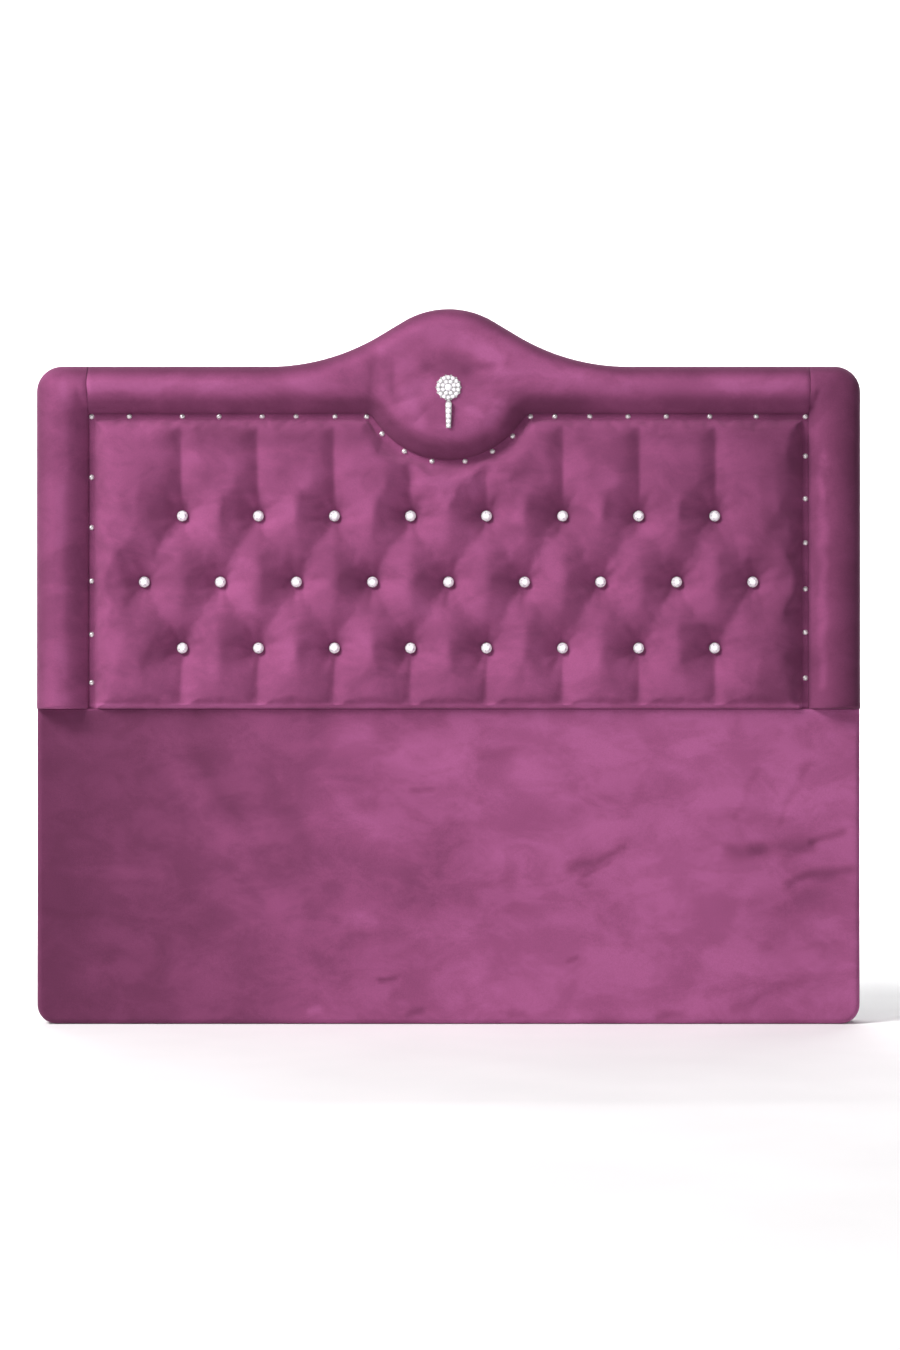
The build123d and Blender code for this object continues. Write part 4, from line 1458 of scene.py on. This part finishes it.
CREST_FOLDS = (
    ((0.046, 1.264), (0.112, 1.279), 0.012, 0.0024),
    ((0.028, 1.206), (0.135, 1.184), 0.012, 0.0026),
    ((0.045, 1.236), (0.200, 1.252), 0.018, 0.0020),
    ((-0.104, 1.205), (-0.106, 1.300), 0.022, 0.0022),
    ((-0.146, 1.210), (-0.147, 1.290), 0.018, 0.0018),
    ((-0.034, 1.222), (-0.135, 1.195), 0.014, 0.0020),
    ((-0.024, 1.208), (-0.080, 1.150), 0.014, 0.0018),
    ((0.060, 1.182), (0.110, 1.150), 0.012, 0.0020),
)
# Painted shade along the creases and above the rosette, and painted highlights on the crown of
# the crest
CREST_SHADE_AND_HIGHLIGHT_STROKES = (
    ((-0.036, 1.278), (0.022, 1.274), 0.038, -0.24),
    ((0.030, 1.266), (0.112, 1.279), 0.012, -0.14),
    ((-0.240, 1.262), (-0.150, 1.270), 0.050, -0.10),
    ((0.080, 1.296), (0.100, 1.270), 0.030, 0.12),
    ((0.034, 1.318), (0.094, 1.286), 0.030, 0.22),
    ((-0.030, 1.330), (0.010, 1.322), 0.026, 0.14),
    ((-0.050, 1.350), (0.020, 1.352), 0.034, 0.12),
    ((-0.150, 1.300), (-0.070, 1.340), 0.030, 0.10),
    ((-0.147, 1.296), (-0.147, 1.220), 0.020, -0.10),
    ((-0.108, 1.296), (-0.108, 1.220), 0.022, -0.10),
    ((-0.084, 1.226), (-0.074, 1.196), 0.020, 0.14),
    ((-0.066, 1.190), (-0.050, 1.162), 0.018, 0.20),
    ((0.096, 1.226), (0.150, 1.196), 0.026, -0.03),
    ((0.110, 1.258), (0.300, 1.262), 0.016, 0.10),
    ((0.028, 1.206), (0.135, 1.184), 0.010, -0.10),
    ((0.096, 1.190), (0.088, 1.156), 0.030, 0.16),
    ((0.040, 1.190), (0.070, 1.172), 0.018, 0.12),
    ((-0.640, 1.238), (-0.300, 1.238), 0.016, 0.05),
)
# Painted highlights down the lit roll of each side border and on the left border's foot
BORDER_HIGHLIGHT_STROKES = (
    ((-0.745, 1.240), (-0.745, 0.680), 0.014, 0.10),
    ((0.725, 1.100), (0.722, 0.660), 0.012, 0.16),
    ((-0.735, 0.635), (-0.700, 0.650), 0.014, 0.12),
)


def side_lie(across, height):
    """The side borders' tone: painted shade where the left one turns in, along their outer rims,
    on the right one's outer side and towards its foot, and a little lighter near the top.
    """
    inner = abs(across) - INNER_HALF
    outer = HALF_WIDTH - abs(across)
    rim = min(outer, SHOULDER - height)
    if across < 0:
        tone = 0.19 - 0.11 * (1 - ease(inner, 0.014, 0.048))
        tone -= 0.40 * (1 - ease(rim, 0.0, 0.045))
    else:
        tone = -0.05 - 0.18 * (1 - ease(outer, 0.035, 0.085))
        tone -= 0.24 * (1 - ease(rim, 0.0, 0.022)) + 0.08 * (1 - ease(height, 0.62, 0.76))
    return tone + 0.06 * ease(height, 1.18, 1.24)


def crest_lie(across, height):
    """The top border's tone: painted shade where it turns in above the tufted panel and a painted
    dark line along its top rim, lighter on its straight parts.
    """
    straight = ease(abs(across), 0.20, 0.30)
    rim_width = 0.030 + 0.012 * straight
    tone = 0.28 + 0.13 * straight - 0.02 * ease(across, -0.1, 0.7)
    tone -= 0.45 * (1 - ease(underside_reach(across, height), 0.018, 0.046))
    rim_share = 1 - ease(crest_reach(across, height), 0.0, rim_width)
    return tone - (0.52 + 0.22 * straight) * rim_share


# The top border's even middle, and the flat place under the rosette
CREST_MIDDLE = 0.24
ROSETTE_SEAT = 0.0030


class HEADBOARD_OT_top_border(Operator):
    """Makes the padded top border with its crest and round lobe"""

    bl_idname = "headboard.top_border"
    bl_label = "Top border"

    def execute(self, context):
        borders = context.scene.headboard_borders
        end = rounded_reaches(CREST_END, SMALL_TURNS)
        middle = spaced(-CREST_MIDDLE, CREST_MIDDLE, CREST_STEP)
        left = from_both_sides(-CREST_HALF, -CREST_MIDDLE - 0.0035, end, [], CREST_END_STEP)
        columns = left + middle + [-place for place in reversed(left)]
        turns = [math.pi * row / CREST_ROWS for row in range(CREST_ROWS + 1)]
        shares = [(1 - math.cos(turn)) / 2 for turn in turns]
        deepest = max(borders.rounding, borders.inner_depth)

        def place(across, share):
            low, high = underside_height(across), crest_height(across)
            height = low + (high - low) * share
            top_reach = crest_reach(across, height)
            low_reach = underside_reach(across, height)
            fall = math.hypot(
                roll(top_reach, borders.rounding, borders.rounding),
                inward_roll(low_reach, borders.inner_width, borders.inner_depth),
            )
            end_reach = CREST_HALF - abs(across)
            fall += MITRE_DEPTH * max(0.0, 1 - end_reach / MITRE_WIDTH) ** 2
            from_rosette = math.hypot(across, height - ROSETTE_HEIGHT)
            fall += ROSETTE_SEAT * (1 - ease(from_rosette, 0.031, 0.090))
            uneven = ripple(across, height, 0.13, 2.2) + 0.5 * ripple(across, height, 0.040, 9.3)
            calm = ease(top_reach, 0.004, 0.03) * ease(low_reach, 0.004, 0.03)
            creases = folded(across, height, CREST_FOLDS)
            clear = ease(from_rosette, 0.027, 0.050)
            fall += (borders.unevenness * (0.9 + uneven) * calm + creases) * clear
            return across, height, BORDER_FRONT - min(fall, deepest)

        def rim(across, height):
            silhouette, joint = None, None
            if height > crest_height(across) - ON_EDGE:
                lean = crest_lean(across)
                silhouette = (math.sin(lean), math.cos(lean))
            inward = Vector((0.0, 0.0))
            if abs(across) > CREST_HALF - ON_EDGE:
                inward.x = math.copysign(1, across)
            if height < underside_height(across) + ON_EDGE:
                lean = underside_lean(across)
                inward += Vector((math.sin(lean), -math.cos(lean)))
            if inward.length > 0:
                joint = inward
            return silhouette, joint

        piece = front_sheet("top_border", columns, shares, place)
        finish_pad(
            piece, rim, BORDER_WRAPS, CREST_SHADE_AND_HIGHLIGHT_STROKES, crest_lie, "crest_cover", "crest_foam"
        )
        return {"FINISHED"}


LOWER_FOLDS = (
    ((0.550, 0.338), (0.770, 0.368), 0.024, 0.0014),
    ((0.670, 0.282), (0.785, 0.299), 0.012, 0.0018),
    ((0.236, 0.304), (0.346, 0.338), 0.018, 0.0014),
    ((0.262, 0.288), (0.315, 0.316), 0.010, 0.0014),
    ((-0.134, 0.086), (-0.100, 0.088), 0.010, 0.0018),
    ((0.700, 0.508), (0.640, 0.392), 0.014, 0.0012),
    ((0.560, 0.030), (0.680, 0.085), 0.020, 0.0014),
    ((-0.700, 0.150), (-0.420, 0.060), 0.030, 0.0012),
)
# Brush marks in the nap, and painted shade along the plain panel's folds
LOWER_MARK_AND_SHADE_STROKES = (
    ((0.545, 0.336), (0.606, 0.339), 0.026, -0.27),
    ((0.606, 0.339), (0.696, 0.344), 0.030, -0.31),
    ((0.704, 0.354), (0.762, 0.374), 0.013, -0.30),
    ((0.660, 0.278), (0.785, 0.299), 0.017, -0.31),
    ((0.610, 0.240), (0.730, 0.236), 0.042, -0.14),
    ((0.240, 0.302), (0.276, 0.311), 0.022, -0.34),
    ((0.292, 0.322), (0.342, 0.338), 0.013, -0.32),
    ((0.262, 0.288), (0.315, 0.316), 0.008, -0.18),
    ((0.256, 0.276), (0.272, 0.268), 0.012, -0.20),
    ((0.700, 0.508), (0.640, 0.392), 0.012, -0.14),
    ((0.600, 0.500), (0.560, 0.400), 0.012, -0.10),
    ((-0.134, 0.086), (-0.100, 0.088), 0.010, -0.32),
    ((-0.070, 0.456), (-0.030, 0.460), 0.012, -0.20),
    ((0.560, 0.030), (0.680, 0.085), 0.022, -0.18),
    ((0.620, 0.140), (0.760, 0.150), 0.030, -0.10),
    ((-0.060, 0.260), (0.090, 0.240), 0.090, -0.12),
    ((0.060, 0.520), (0.180, 0.530), 0.020, -0.12),
    ((0.000, 0.400), (0.030, 0.380), 0.016, -0.14),
    ((-0.500, 0.600), (-0.420, 0.420), 0.050, -0.10),
    ((-0.560, 0.530), (-0.300, 0.200), 0.040, 0.08),
    ((-0.480, 0.560), (-0.300, 0.260), 0.026, 0.05),
    ((-0.360, 0.480), (-0.270, 0.340), 0.034, -0.09),
    ((-0.760, 0.300), (-0.560, 0.290), 0.018, 0.06),
    ((-0.780, 0.220), (-0.500, 0.190), 0.014, -0.05),
    ((-0.740, 0.120), (-0.560, 0.140), 0.020, -0.05),
    ((-0.220, 0.560), (0.020, 0.500), 0.050, 0.14),
    ((-0.260, 0.440), (-0.150, 0.370), 0.050, 0.10),
    ((-0.190, 0.206), (-0.160, 0.200), 0.026, 0.22),
    ((-0.330, 0.310), (-0.190, 0.312), 0.100, -0.11),
    ((0.130, 0.490), (0.220, 0.430), 0.036, 0.14),
    ((0.420, 0.500), (0.560, 0.460), 0.024, 0.10),
    ((0.500, 0.440), (0.720, 0.430), 0.040, 0.10),
    ((0.330, 0.330), (0.560, 0.310), 0.100, 0.09),
    ((0.380, 0.260), (0.460, 0.230), 0.030, 0.12),
    ((0.520, 0.130), (0.640, 0.110), 0.034, 0.10),
    ((-0.270, 0.022), (-0.255, 0.026), 0.012, 0.26),
    ((-0.075, 0.018), (-0.050, 0.022), 0.013, -0.26),
    ((0.120, 0.016), (0.145, 0.024), 0.014, -0.22),
    ((0.235, 0.122), (0.245, 0.128), 0.009, -0.26),
    ((0.405, 0.014), (0.455, 0.014), 0.014, -0.18),
)


def lower_lie(across, height):
    """The plain panel's tone: darker towards its left end and varied along its foot, with painted
    light along its top edge at the seam.
    """
    tone = -0.30 + 0.70 * min(1.0, max(0.0, (across + 0.80) / 0.90))
    tone += 0.06 * ease(across, 0.30, 0.45) - 0.10 * ease(across, 0.58, 0.80)
    low = 1 - ease(height, 0.0, 0.30)
    tone += low * (0.08 * ease(across, -0.5, -0.1) - 0.16 * ease(across, 0.20, 0.36))
    return tone + 0.20 * (1 - ease(SEAM - height, 0.0, 0.006))


class HEADBOARD_OT_lower_panel(Operator):
    """Makes the plain velvet panel under the seam"""

    bl_idname = "headboard.lower_panel"
    bl_label = "Lower panel"

    def execute(self, context):
        borders = context.scene.headboard_borders
        edge = rounded_reaches(borders.lower_rounding, LOWER_TURNS)
        seam_edge = rounded_reaches(borders.seam_rounding, SMALL_TURNS)
        columns = from_both_sides(-HALF_WIDTH, HALF_WIDTH, edge, edge, LOWER_STEP)
        rows = from_both_sides(0.0, SEAM, edge, seam_edge, LOWER_STEP)

        def place(across, height):
            side_reach = HALF_WIDTH - abs(across)
            foot_reach, seam_reach = height, SEAM - height
            silhouette = min(side_reach, foot_reach)
            fall = math.hypot(
                roll(silhouette, borders.lower_rounding, borders.lower_rounding),
                roll(seam_reach, borders.seam_rounding, borders.seam_rounding),
            )
            uneven = ripple(across, height, 0.26, 4.4) + 0.6 * ripple(across, height, 0.09, 7.7)
            calm = ease(silhouette, 0.003, 0.05) * ease(seam_reach, 0.003, 0.05)
            fall += 1.3 * borders.unevenness * (1 + uneven) * calm
            fall += folded(across, height, LOWER_FOLDS)
            side_reach, foot_reach = corner_turned(side_reach, foot_reach, FOOT_CORNER)
            depth = LOWER_FRONT - min(fall, borders.lower_rounding)
            return math.copysign(HALF_WIDTH - side_reach, across), foot_reach, depth

        def rim(across, height):
            out = abs(across)
            silhouette = None
            corner_across = HALF_WIDTH - FOOT_CORNER
            if out > corner_across and height < FOOT_CORNER:
                turn = Vector((out - corner_across, height - FOOT_CORNER)).normalized()
                silhouette = (math.copysign(turn.x, across), turn.y)
            elif out > HALF_WIDTH - ON_EDGE:
                silhouette = (math.copysign(1, across), 0)
            elif height < ON_EDGE:
                silhouette = (0, -1)
            return silhouette, (0, 1) if height > SEAM - ON_EDGE else None

        piece = front_sheet("lower_panel", columns, rows, place)
        finish_pad(
            piece, rim, LOWER_WRAPS, LOWER_MARK_AND_SHADE_STROKES, lower_lie, "lower_cover", "lower_foam"
        )
        return {"FINISHED"}


# The back cloth, inset from the outline, and the square cut round each bolt window
CLOTH_INSET = HALF_WIDTH - cloth_box[1].x
CLOTH_DEPTH = 0.0011
CLOTH_THICKNESS = 0.0006
CLOTH_SAG = 0.0006
CLOTH_STEP = 0.02
CLOTH_LOW, CLOTH_HIGH = 0.060, 1.15
CLOTH_TURNS, CLOTH_LOW_ROWS, CLOTH_HIGH_ROWS = 6, 4, 9
WINDOW_HALF = BOLT_WINDOW_RADIUS + 0.005


def cut_window(shape, across, height):
    """Opens a round window in the cloth where a bolt goes through."""
    inside = []
    for face in shape.faces:
        centre = face.calc_center_median()
        if abs(centre.x - across) < WINDOW_HALF and abs(centre.z - height) < WINDOW_HALF:
            inside.append(face)
    rim = {edge for face in inside for edge in face.edges}
    rim = [edge for edge in rim if sum(face in inside for face in edge.link_faces) == 1]
    bmesh.ops.delete(shape, geom=inside, context="FACES_ONLY")
    seat = Matrix.Translation((across, REAR - CLOTH_DEPTH, height))
    seat = seat @ Matrix.Rotation(math.radians(90), 4, "X")
    circle = bmesh.ops.create_circle(shape, segments=24, radius=BOLT_WINDOW_RADIUS, matrix=seat)
    ring = list({edge for vert in circle["verts"] for edge in vert.link_edges})
    bmesh.ops.bridge_loops(shape, edges=rim + ring)


class HEADBOARD_OT_back_cloth(Operator):
    """Makes the black cloth that closes the back"""

    bl_idname = "headboard.back_cloth"
    bl_label = "Back cloth"

    def execute(self, context):
        half = HALF_WIDTH - CLOTH_INSET
        corner = TOP_CORNER - CLOTH_INSET
        foot_corner = FOOT_CORNER - CLOTH_INSET
        bolt_across = abs(BOLT_WINDOWS[0][0])
        low_window, high_window = BOLT_WINDOWS[0][1], BOLT_WINDOWS[1][1]
        outer = {round(half - reach, 5) for reach in rounded_reaches(corner, CLOTH_TURNS)}
        outer = sorted(outer | {bolt_across + WINDOW_HALF})
        columns = [-end for end in reversed(outer)]
        columns += spaced(-bolt_across + WINDOW_HALF, bolt_across - WINDOW_HALF, CLOTH_STEP)
        columns += outer
        fixed = spaced(CLOTH_LOW, low_window - WINDOW_HALF, CLOTH_STEP)
        fixed += [low_window + WINDOW_HALF, high_window - WINDOW_HALF]
        fixed += spaced(high_window + WINDOW_HALF, CLOTH_HIGH, CLOTH_STEP)
        rows = [("low", row / CLOTH_LOW_ROWS) for row in range(CLOTH_LOW_ROWS)]
        rows += [("fixed", height) for height in fixed]
        rows += [("high", (row + 1) / CLOTH_HIGH_ROWS) for row in range(CLOTH_HIGH_ROWS)]

        def top_edge(across):
            run = abs(across) - (half - corner)
            if run > 0:
                return SHOULDER - CLOTH_INSET - corner + math.sqrt(max(0.0, corner**2 - run**2))
            return crest_height(across) - CLOTH_INSET / math.cos(crest_lean(across))

        def foot_edge(across):
            run = abs(across) - (half - foot_corner)
            if run <= 0:
                return CLOTH_INSET
            return CLOTH_INSET + foot_corner - math.sqrt(max(0.0, foot_corner**2 - run**2))

        def place(across, row):
            kind, height = row
            if kind == "low":
                height = foot_edge(across) + (fixed[0] - foot_edge(across)) * height
            elif kind == "high":
                height = fixed[-1] + (top_edge(across) - fixed[-1]) * height
            inside = min(half - abs(across), height - CLOTH_INSET, top_edge(across) - height)
            sag = CLOTH_SAG * ease(inside, 0.03, 0.10) * (1 + ripple(across, height, 0.14, 2.9))
            return across, height, CLOTH_DEPTH + sag

        piece = front_sheet("back_cloth", columns, rows, place)
        shape = opened(piece)
        for across, height in BOLT_WINDOWS:
            cut_window(shape, across, height)
        drop_loose_edges(shape)
        face_outwards(shape)
        if sum(face.normal.y for face in shape.faces) < 0:
            bmesh.ops.reverse_faces(shape, faces=shape.faces)
        closed(shape, piece)
        thickness = piece.modifiers.new("thickness", "SOLIDIFY")
        thickness.thickness = CLOTH_THICKNESS
        thickness.offset = 0
        finish = back_cloth_finish("black_back_cloth")
        hand_over(piece, finish, "headboard", "dust_cloth", "dust_cover")
        return {"FINISHED"}


# The rings of points that a stone is cut from: how many, how wide, how high and how turned
STONE_RINGS = (
    (16, 0.80, 0.0, 0.0),
    (16, 0.98, 0.34, 0.0),
    (8, 0.82, 0.72, 22.5),
    (8, 0.50, 1.0, 0.0),
)
FRONT_FACET = -0.95
GOLDEN_SHARE = 0.618034


def cut_stones(name, stones, box, body, node):
    """Sets faceted stones between the back and the front of a box.

    Each stone has a place across, a height and a radius.
    """
    shape = bmesh.new()
    back, rise = box[1].y, box[1].y - box[0].y
    for across, height, radius in stones:
        corners = []
        for segments, width, lift, turn in STONE_RINGS:
            seat = Matrix.Translation((across, back - rise * lift, height))
            seat = seat @ Matrix.Rotation(math.radians(90), 4, "X")
            seat = seat @ Matrix.Rotation(math.radians(turn), 4, "Z")
            ring = bmesh.ops.create_circle(
                shape, segments=segments, radius=radius * width, matrix=seat
            )
            corners += ring["verts"]
        bmesh.ops.convex_hull(shape, input=corners)
    flat = [edge for edge in shape.edges if len(edge.link_faces) == 2]
    bmesh.ops.dissolve_limit(
        shape, angle_limit=math.radians(1), use_dissolve_boundaries=False, verts=[], edges=flat
    )
    drop_loose_edges(shape)
    bmesh.ops.recalc_face_normals(shape, faces=shape.faces)
    piece = new_piece(name, shape)
    # Painted glints: a random brightness per facet, brightest on the front facets
    facet_glints = piece.data.attributes.new("facet", "FLOAT", "FACE")
    for number, (facet, side) in enumerate(zip(facet_glints.data, piece.data.polygons)):
        spread = (0.37 + GOLDEN_SHARE * number) % 1.0
        facet.value = 0.88 + 0.12 * spread if side.normal.y < FRONT_FACET else spread
    hand_over(piece, shared("foiled_crystal", crystal_finish), body, "crystal", node)


def finish_nodes(finish, *names):
    """Gives nodes of the frame their finish."""
    for name in names:
        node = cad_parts[name]
        node.data.materials.clear()
        node.data.materials.append(finish)


class HEADBOARD_OT_buttons(Operator):
    """Makes the crystal buttons in their nickel cups"""

    bl_idname = "headboard.buttons"
    bl_label = "Buttons"

    def execute(self, context):
        stones = [(across, height, BUTTON_RADIUS) for across, height in BUTTONS]
        cut_stones("button_stones", stones, button_box, "headboard", "button_crystals")
        finish_nodes(nickel_finish(), "button_cups")
        return {"FINISHED"}


class HEADBOARD_OT_nails(Operator):
    """Finishes the decorative nails along the borders"""

    bl_idname = "headboard.nails"
    bl_label = "Decorative nails"

    def execute(self, context):
        finish_nodes(nickel_finish(), "decorative_nails")
        return {"FINISHED"}


class HEADBOARD_OT_rosette(Operator):
    """Makes the stones of the rosette on its nickel plate"""

    bl_idname = "headboard.rosette"
    bl_label = "Rosette"

    def execute(self, context):
        stones = []
        for count, ring, radius in ROSETTE_RINGS:
            for place in range(count):
                turn = 2 * math.pi * (place + 0.5) / count
                across = ring * math.cos(turn)
                height = ROSETTE_HEIGHT + ring * math.sin(turn)
                stones.append((across, height, radius))
        centre = [(0.0, ROSETTE_HEIGHT, ROSETTE_CENTRE_RADIUS)]
        for name, places, box, node in (
            ("rosette_stones", stones, rosette_box, "brooch_crystals"),
            ("rosette_centre_stone", centre, rosette_centre_box, "brooch_centre_crystal"),
        ):
            cut_stones(name, places, box, "headboard", node)
        finish_nodes(nickel_finish(), "brooch_plate", "pendant_pin")
        return {"FINISHED"}


class HEADBOARD_OT_drop(Operator):
    """Makes the stones of the drop that swings from the rosette"""

    bl_idname = "headboard.drop"
    bl_label = "Drop"

    def execute(self, context):
        stones = []
        stone_top = DROP_FIRST_STONE + DROP_STONE_RADII[0]
        for radius in DROP_STONE_RADII:
            stones.append((0.0, stone_top - radius, radius))
            stone_top -= 2 * radius + DROP_STONE_GAP
        cut_stones("drop_stones", stones, drop_box, "pendant", "pendant_crystals")
        finish_nodes(nickel_finish(), "pendant_bar")
        return {"FINISHED"}


# Each wood: its pale and its dark tone, how close its rings lie, its roughness and its nodes
WOODS = {
    "planed_softwood": (
        ((0.74, 0.55, 0.34), (0.58, 0.38, 0.20), 26.0, 0.62),
        (
            "left_stile",
            "right_stile",
            "bottom_rail",
            "middle_rail",
            "top_rail",
            "lower_centre_stile",
            "upper_centre_stile",
            "crest_block",
            "corner_blocks",
            "tacking_strip_left",
            "tacking_strip_right",
            "tacking_strip_top",
        ),
    ),
    "poplar_plywood": (
        ((0.70, 0.53, 0.34), (0.57, 0.40, 0.23), 14.0, 0.58),
        (
            "back_board",
            "tufted_base_board",
            "left_bolster_core",
            "right_bolster_core",
            "crest_core",
        ),
    ),
    "beech_dowel": (((0.78, 0.60, 0.42), (0.66, 0.47, 0.30), 60.0, 0.5), ("frame_dowels",)),
}
ZINC_PLATED = (
    "board_screws",
    "core_screws",
    "unit_screws",
    "tufting_washers",
    "cover_staples",
    "bed_bolt_nuts",
)


class HEADBOARD_OT_timber_frame(Operator):
    """Finishes the timber frame, its boards, cores and strips"""

    bl_idname = "headboard.timber_frame"
    bl_label = "Timber frame"

    def execute(self, context):
        for wood, (looks, nodes) in WOODS.items():
            finish_nodes(wood_finish(wood, *looks), *nodes)
        return {"FINISHED"}


class HEADBOARD_OT_fastenings(Operator):
    """Finishes the screws, staples, nuts, washers and tufting twine"""

    bl_idname = "headboard.fastenings"
    bl_label = "Fastenings"

    def execute(self, context):
        zinc = metal_finish("zinc_plate", (0.68, 0.68, 0.70), (0.28, 0.46), 420.0, 0.85)
        finish_nodes(zinc, *ZINC_PLATED)
        finish_nodes(twine_finish("waxed_twine"), "tufting_twines")
        return {"FINISHED"}


def aim(thing, place, target):
    """Puts a light or a camera at a place and turns it to a target."""
    thing.location = place
    thing.rotation_euler = (Vector(target) - Vector(place)).to_track_quat("-Z", "Y").to_euler()


def soft_light(name, power, size, place, target, colour):
    """A soft light with straight sides."""
    lamp = bpy.data.lights.new(name, "AREA")
    lamp.shape = "RECTANGLE"
    lamp.size, lamp.size_y = size
    lamp.energy = power
    lamp.color = colour
    light = bpy.data.objects.new(name, lamp)
    bpy.context.scene.collection.objects.link(light)
    aim(light, place, target)


# The floor, the bend at its rear and the backdrop above it
FLOOR_HALF = 9.0
BEND_START = 6.8
BEND_RADIUS = 1.5
BEND_STEPS = 8
BACKDROP_TOP = 9.0

# The lights: the size of each, where it stands, what it faces and its colour
LIGHTS = {
    "key": ((3.4, 3.4), (-5.6, -3.9, 6.6), (0.0, 0.0, 0.75), (1, 0.985, 0.98)),
    "fill": ((3.0, 2.4), (2.6, -5.0, 1.6), (0.0, 0.0, 0.75), (1, 1, 1)),
    "backdrop": ((6.0, 2.0), (0.0, 3.4, 5.6), (0.0, 8.0, 1.2), (1, 1, 1)),
}
ROOM_COLOUR = (0.96, 0.97, 1.0, 1)

# The camera: how far right of the centre it stands, its sensor in millimetres, and how far
# behind the borders' front the picture's height is measured
CAMERA_ACROSS = 0.0029
SENSOR = 36
PICTURE_BEHIND = 0.038


class HEADBOARD_OT_stage(Operator):
    """Makes the pale floor and backdrop, the lights and the camera"""

    bl_idname = "headboard.stage"
    bl_label = "Stage"

    def execute(self, context):
        room = context.scene.headboard_room
        self.make_backdrop()
        self.make_lights(context.scene, room)
        self.make_camera(context.scene, room)
        return {"FINISHED"}

    def make_backdrop(self):
        shape = bmesh.new()
        bmesh.ops.create_grid(shape, x_segments=1, y_segments=1, size=FLOOR_HALF)
        rear = [vert for vert in shape.verts if vert.co.y > 0]
        edges = [edge for edge in shape.edges if all(vert in rear for vert in edge.verts)]
        for vert in rear:
            vert.co.y = BEND_START
        for step in range(1, BEND_STEPS + 1):
            turn = math.pi / 2 * step / BEND_STEPS
            verts, edges = extruded(shape, edges)
            for vert in verts:
                vert.co.y = BEND_START + BEND_RADIUS * math.sin(turn)
                vert.co.z = BEND_RADIUS * (1 - math.cos(turn))
        verts, edges = extruded(shape, edges)
        for vert in verts:
            vert.co.z = BACKDROP_TOP
        face_outwards(shape)
        backdrop = new_piece("backdrop", shape)
        backdrop.data.materials.append(paper_finish("pale_paper"))

    def make_lights(self, scene, room):
        for name, (size, place, target, colour) in LIGHTS.items():
            soft_light(name, getattr(room, f"{name}_power"), size, place, target, colour)
        world = bpy.data.worlds.new("room")
        world.use_nodes = True
        background = world.node_tree.nodes["Background"]
        background.inputs["Color"].default_value = ROOM_COLOUR
        background.inputs["Strength"].default_value = room.daylight
        scene.world = world

    def make_camera(self, scene, room):
        lens = bpy.data.cameras.new("camera")
        lens.sensor_fit = "AUTO"
        lens.sensor_width = SENSOR
        lens.lens = SENSOR * (room.camera_distance + PICTURE_BEHIND) / room.frame_height
        lens.clip_end = 60
        camera = bpy.data.objects.new("camera", lens)
        scene.collection.objects.link(camera)
        front = REAR - BORDER_FRONT
        eye = Vector((CAMERA_ACROSS, front - room.camera_distance, room.camera_height))
        aim(camera, eye, eye + Vector((0, 1, 0)))
        scene.camera = camera
        scene.view_settings.view_transform = "Standard"
        scene.view_settings.look = "None"


STEPS = (
    HEADBOARD_OT_tufted_panel,
    HEADBOARD_OT_side_borders,
    HEADBOARD_OT_top_border,
    HEADBOARD_OT_lower_panel,
    HEADBOARD_OT_back_cloth,
    HEADBOARD_OT_buttons,
    HEADBOARD_OT_nails,
    HEADBOARD_OT_rosette,
    HEADBOARD_OT_drop,
    HEADBOARD_OT_timber_frame,
    HEADBOARD_OT_fastenings,
    HEADBOARD_OT_stage,
)


class HEADBOARD_PT_panel(Panel):
    """Lists the pieces of the headboard and their sizes"""

    bl_idname = "HEADBOARD_PT_panel"
    bl_label = "Headboard"
    bl_space_type = "VIEW_3D"
    bl_region_type = "UI"
    bl_category = "Headboard"

    def draw(self, context):
        scene = context.scene
        for settings in (
            scene.headboard_velvet,
            scene.headboard_tufting,
            scene.headboard_borders,
            scene.headboard_room,
        ):
            box = self.layout.box()
            for name in settings.bl_rna.properties.keys():
                if name not in {"rna_type", "name"}:
                    box.prop(settings, name)
        for step in STEPS:
            self.layout.operator(step.bl_idname)


SETTINGS = {
    "headboard_velvet": HeadboardVelvet,
    "headboard_tufting": HeadboardTufting,
    "headboard_borders": HeadboardBorders,
    "headboard_room": HeadboardRoom,
}


def register():
    for name, settings in SETTINGS.items():
        bpy.utils.register_class(settings)
        setattr(bpy.types.Scene, name, PointerProperty(type=settings))
    for made in (*STEPS, HEADBOARD_PT_panel):
        bpy.utils.register_class(made)


def unregister():
    for made in reversed((*STEPS, HEADBOARD_PT_panel)):
        bpy.utils.unregister_class(made)
    for name, settings in reversed(SETTINGS.items()):
        delattr(bpy.types.Scene, name)
        bpy.utils.unregister_class(settings)


def main():
    register()
    for step in STEPS:
        group, name = step.bl_idname.split(".")
        getattr(getattr(bpy.ops, group), name)()


if __name__ == "__main__":
    main()
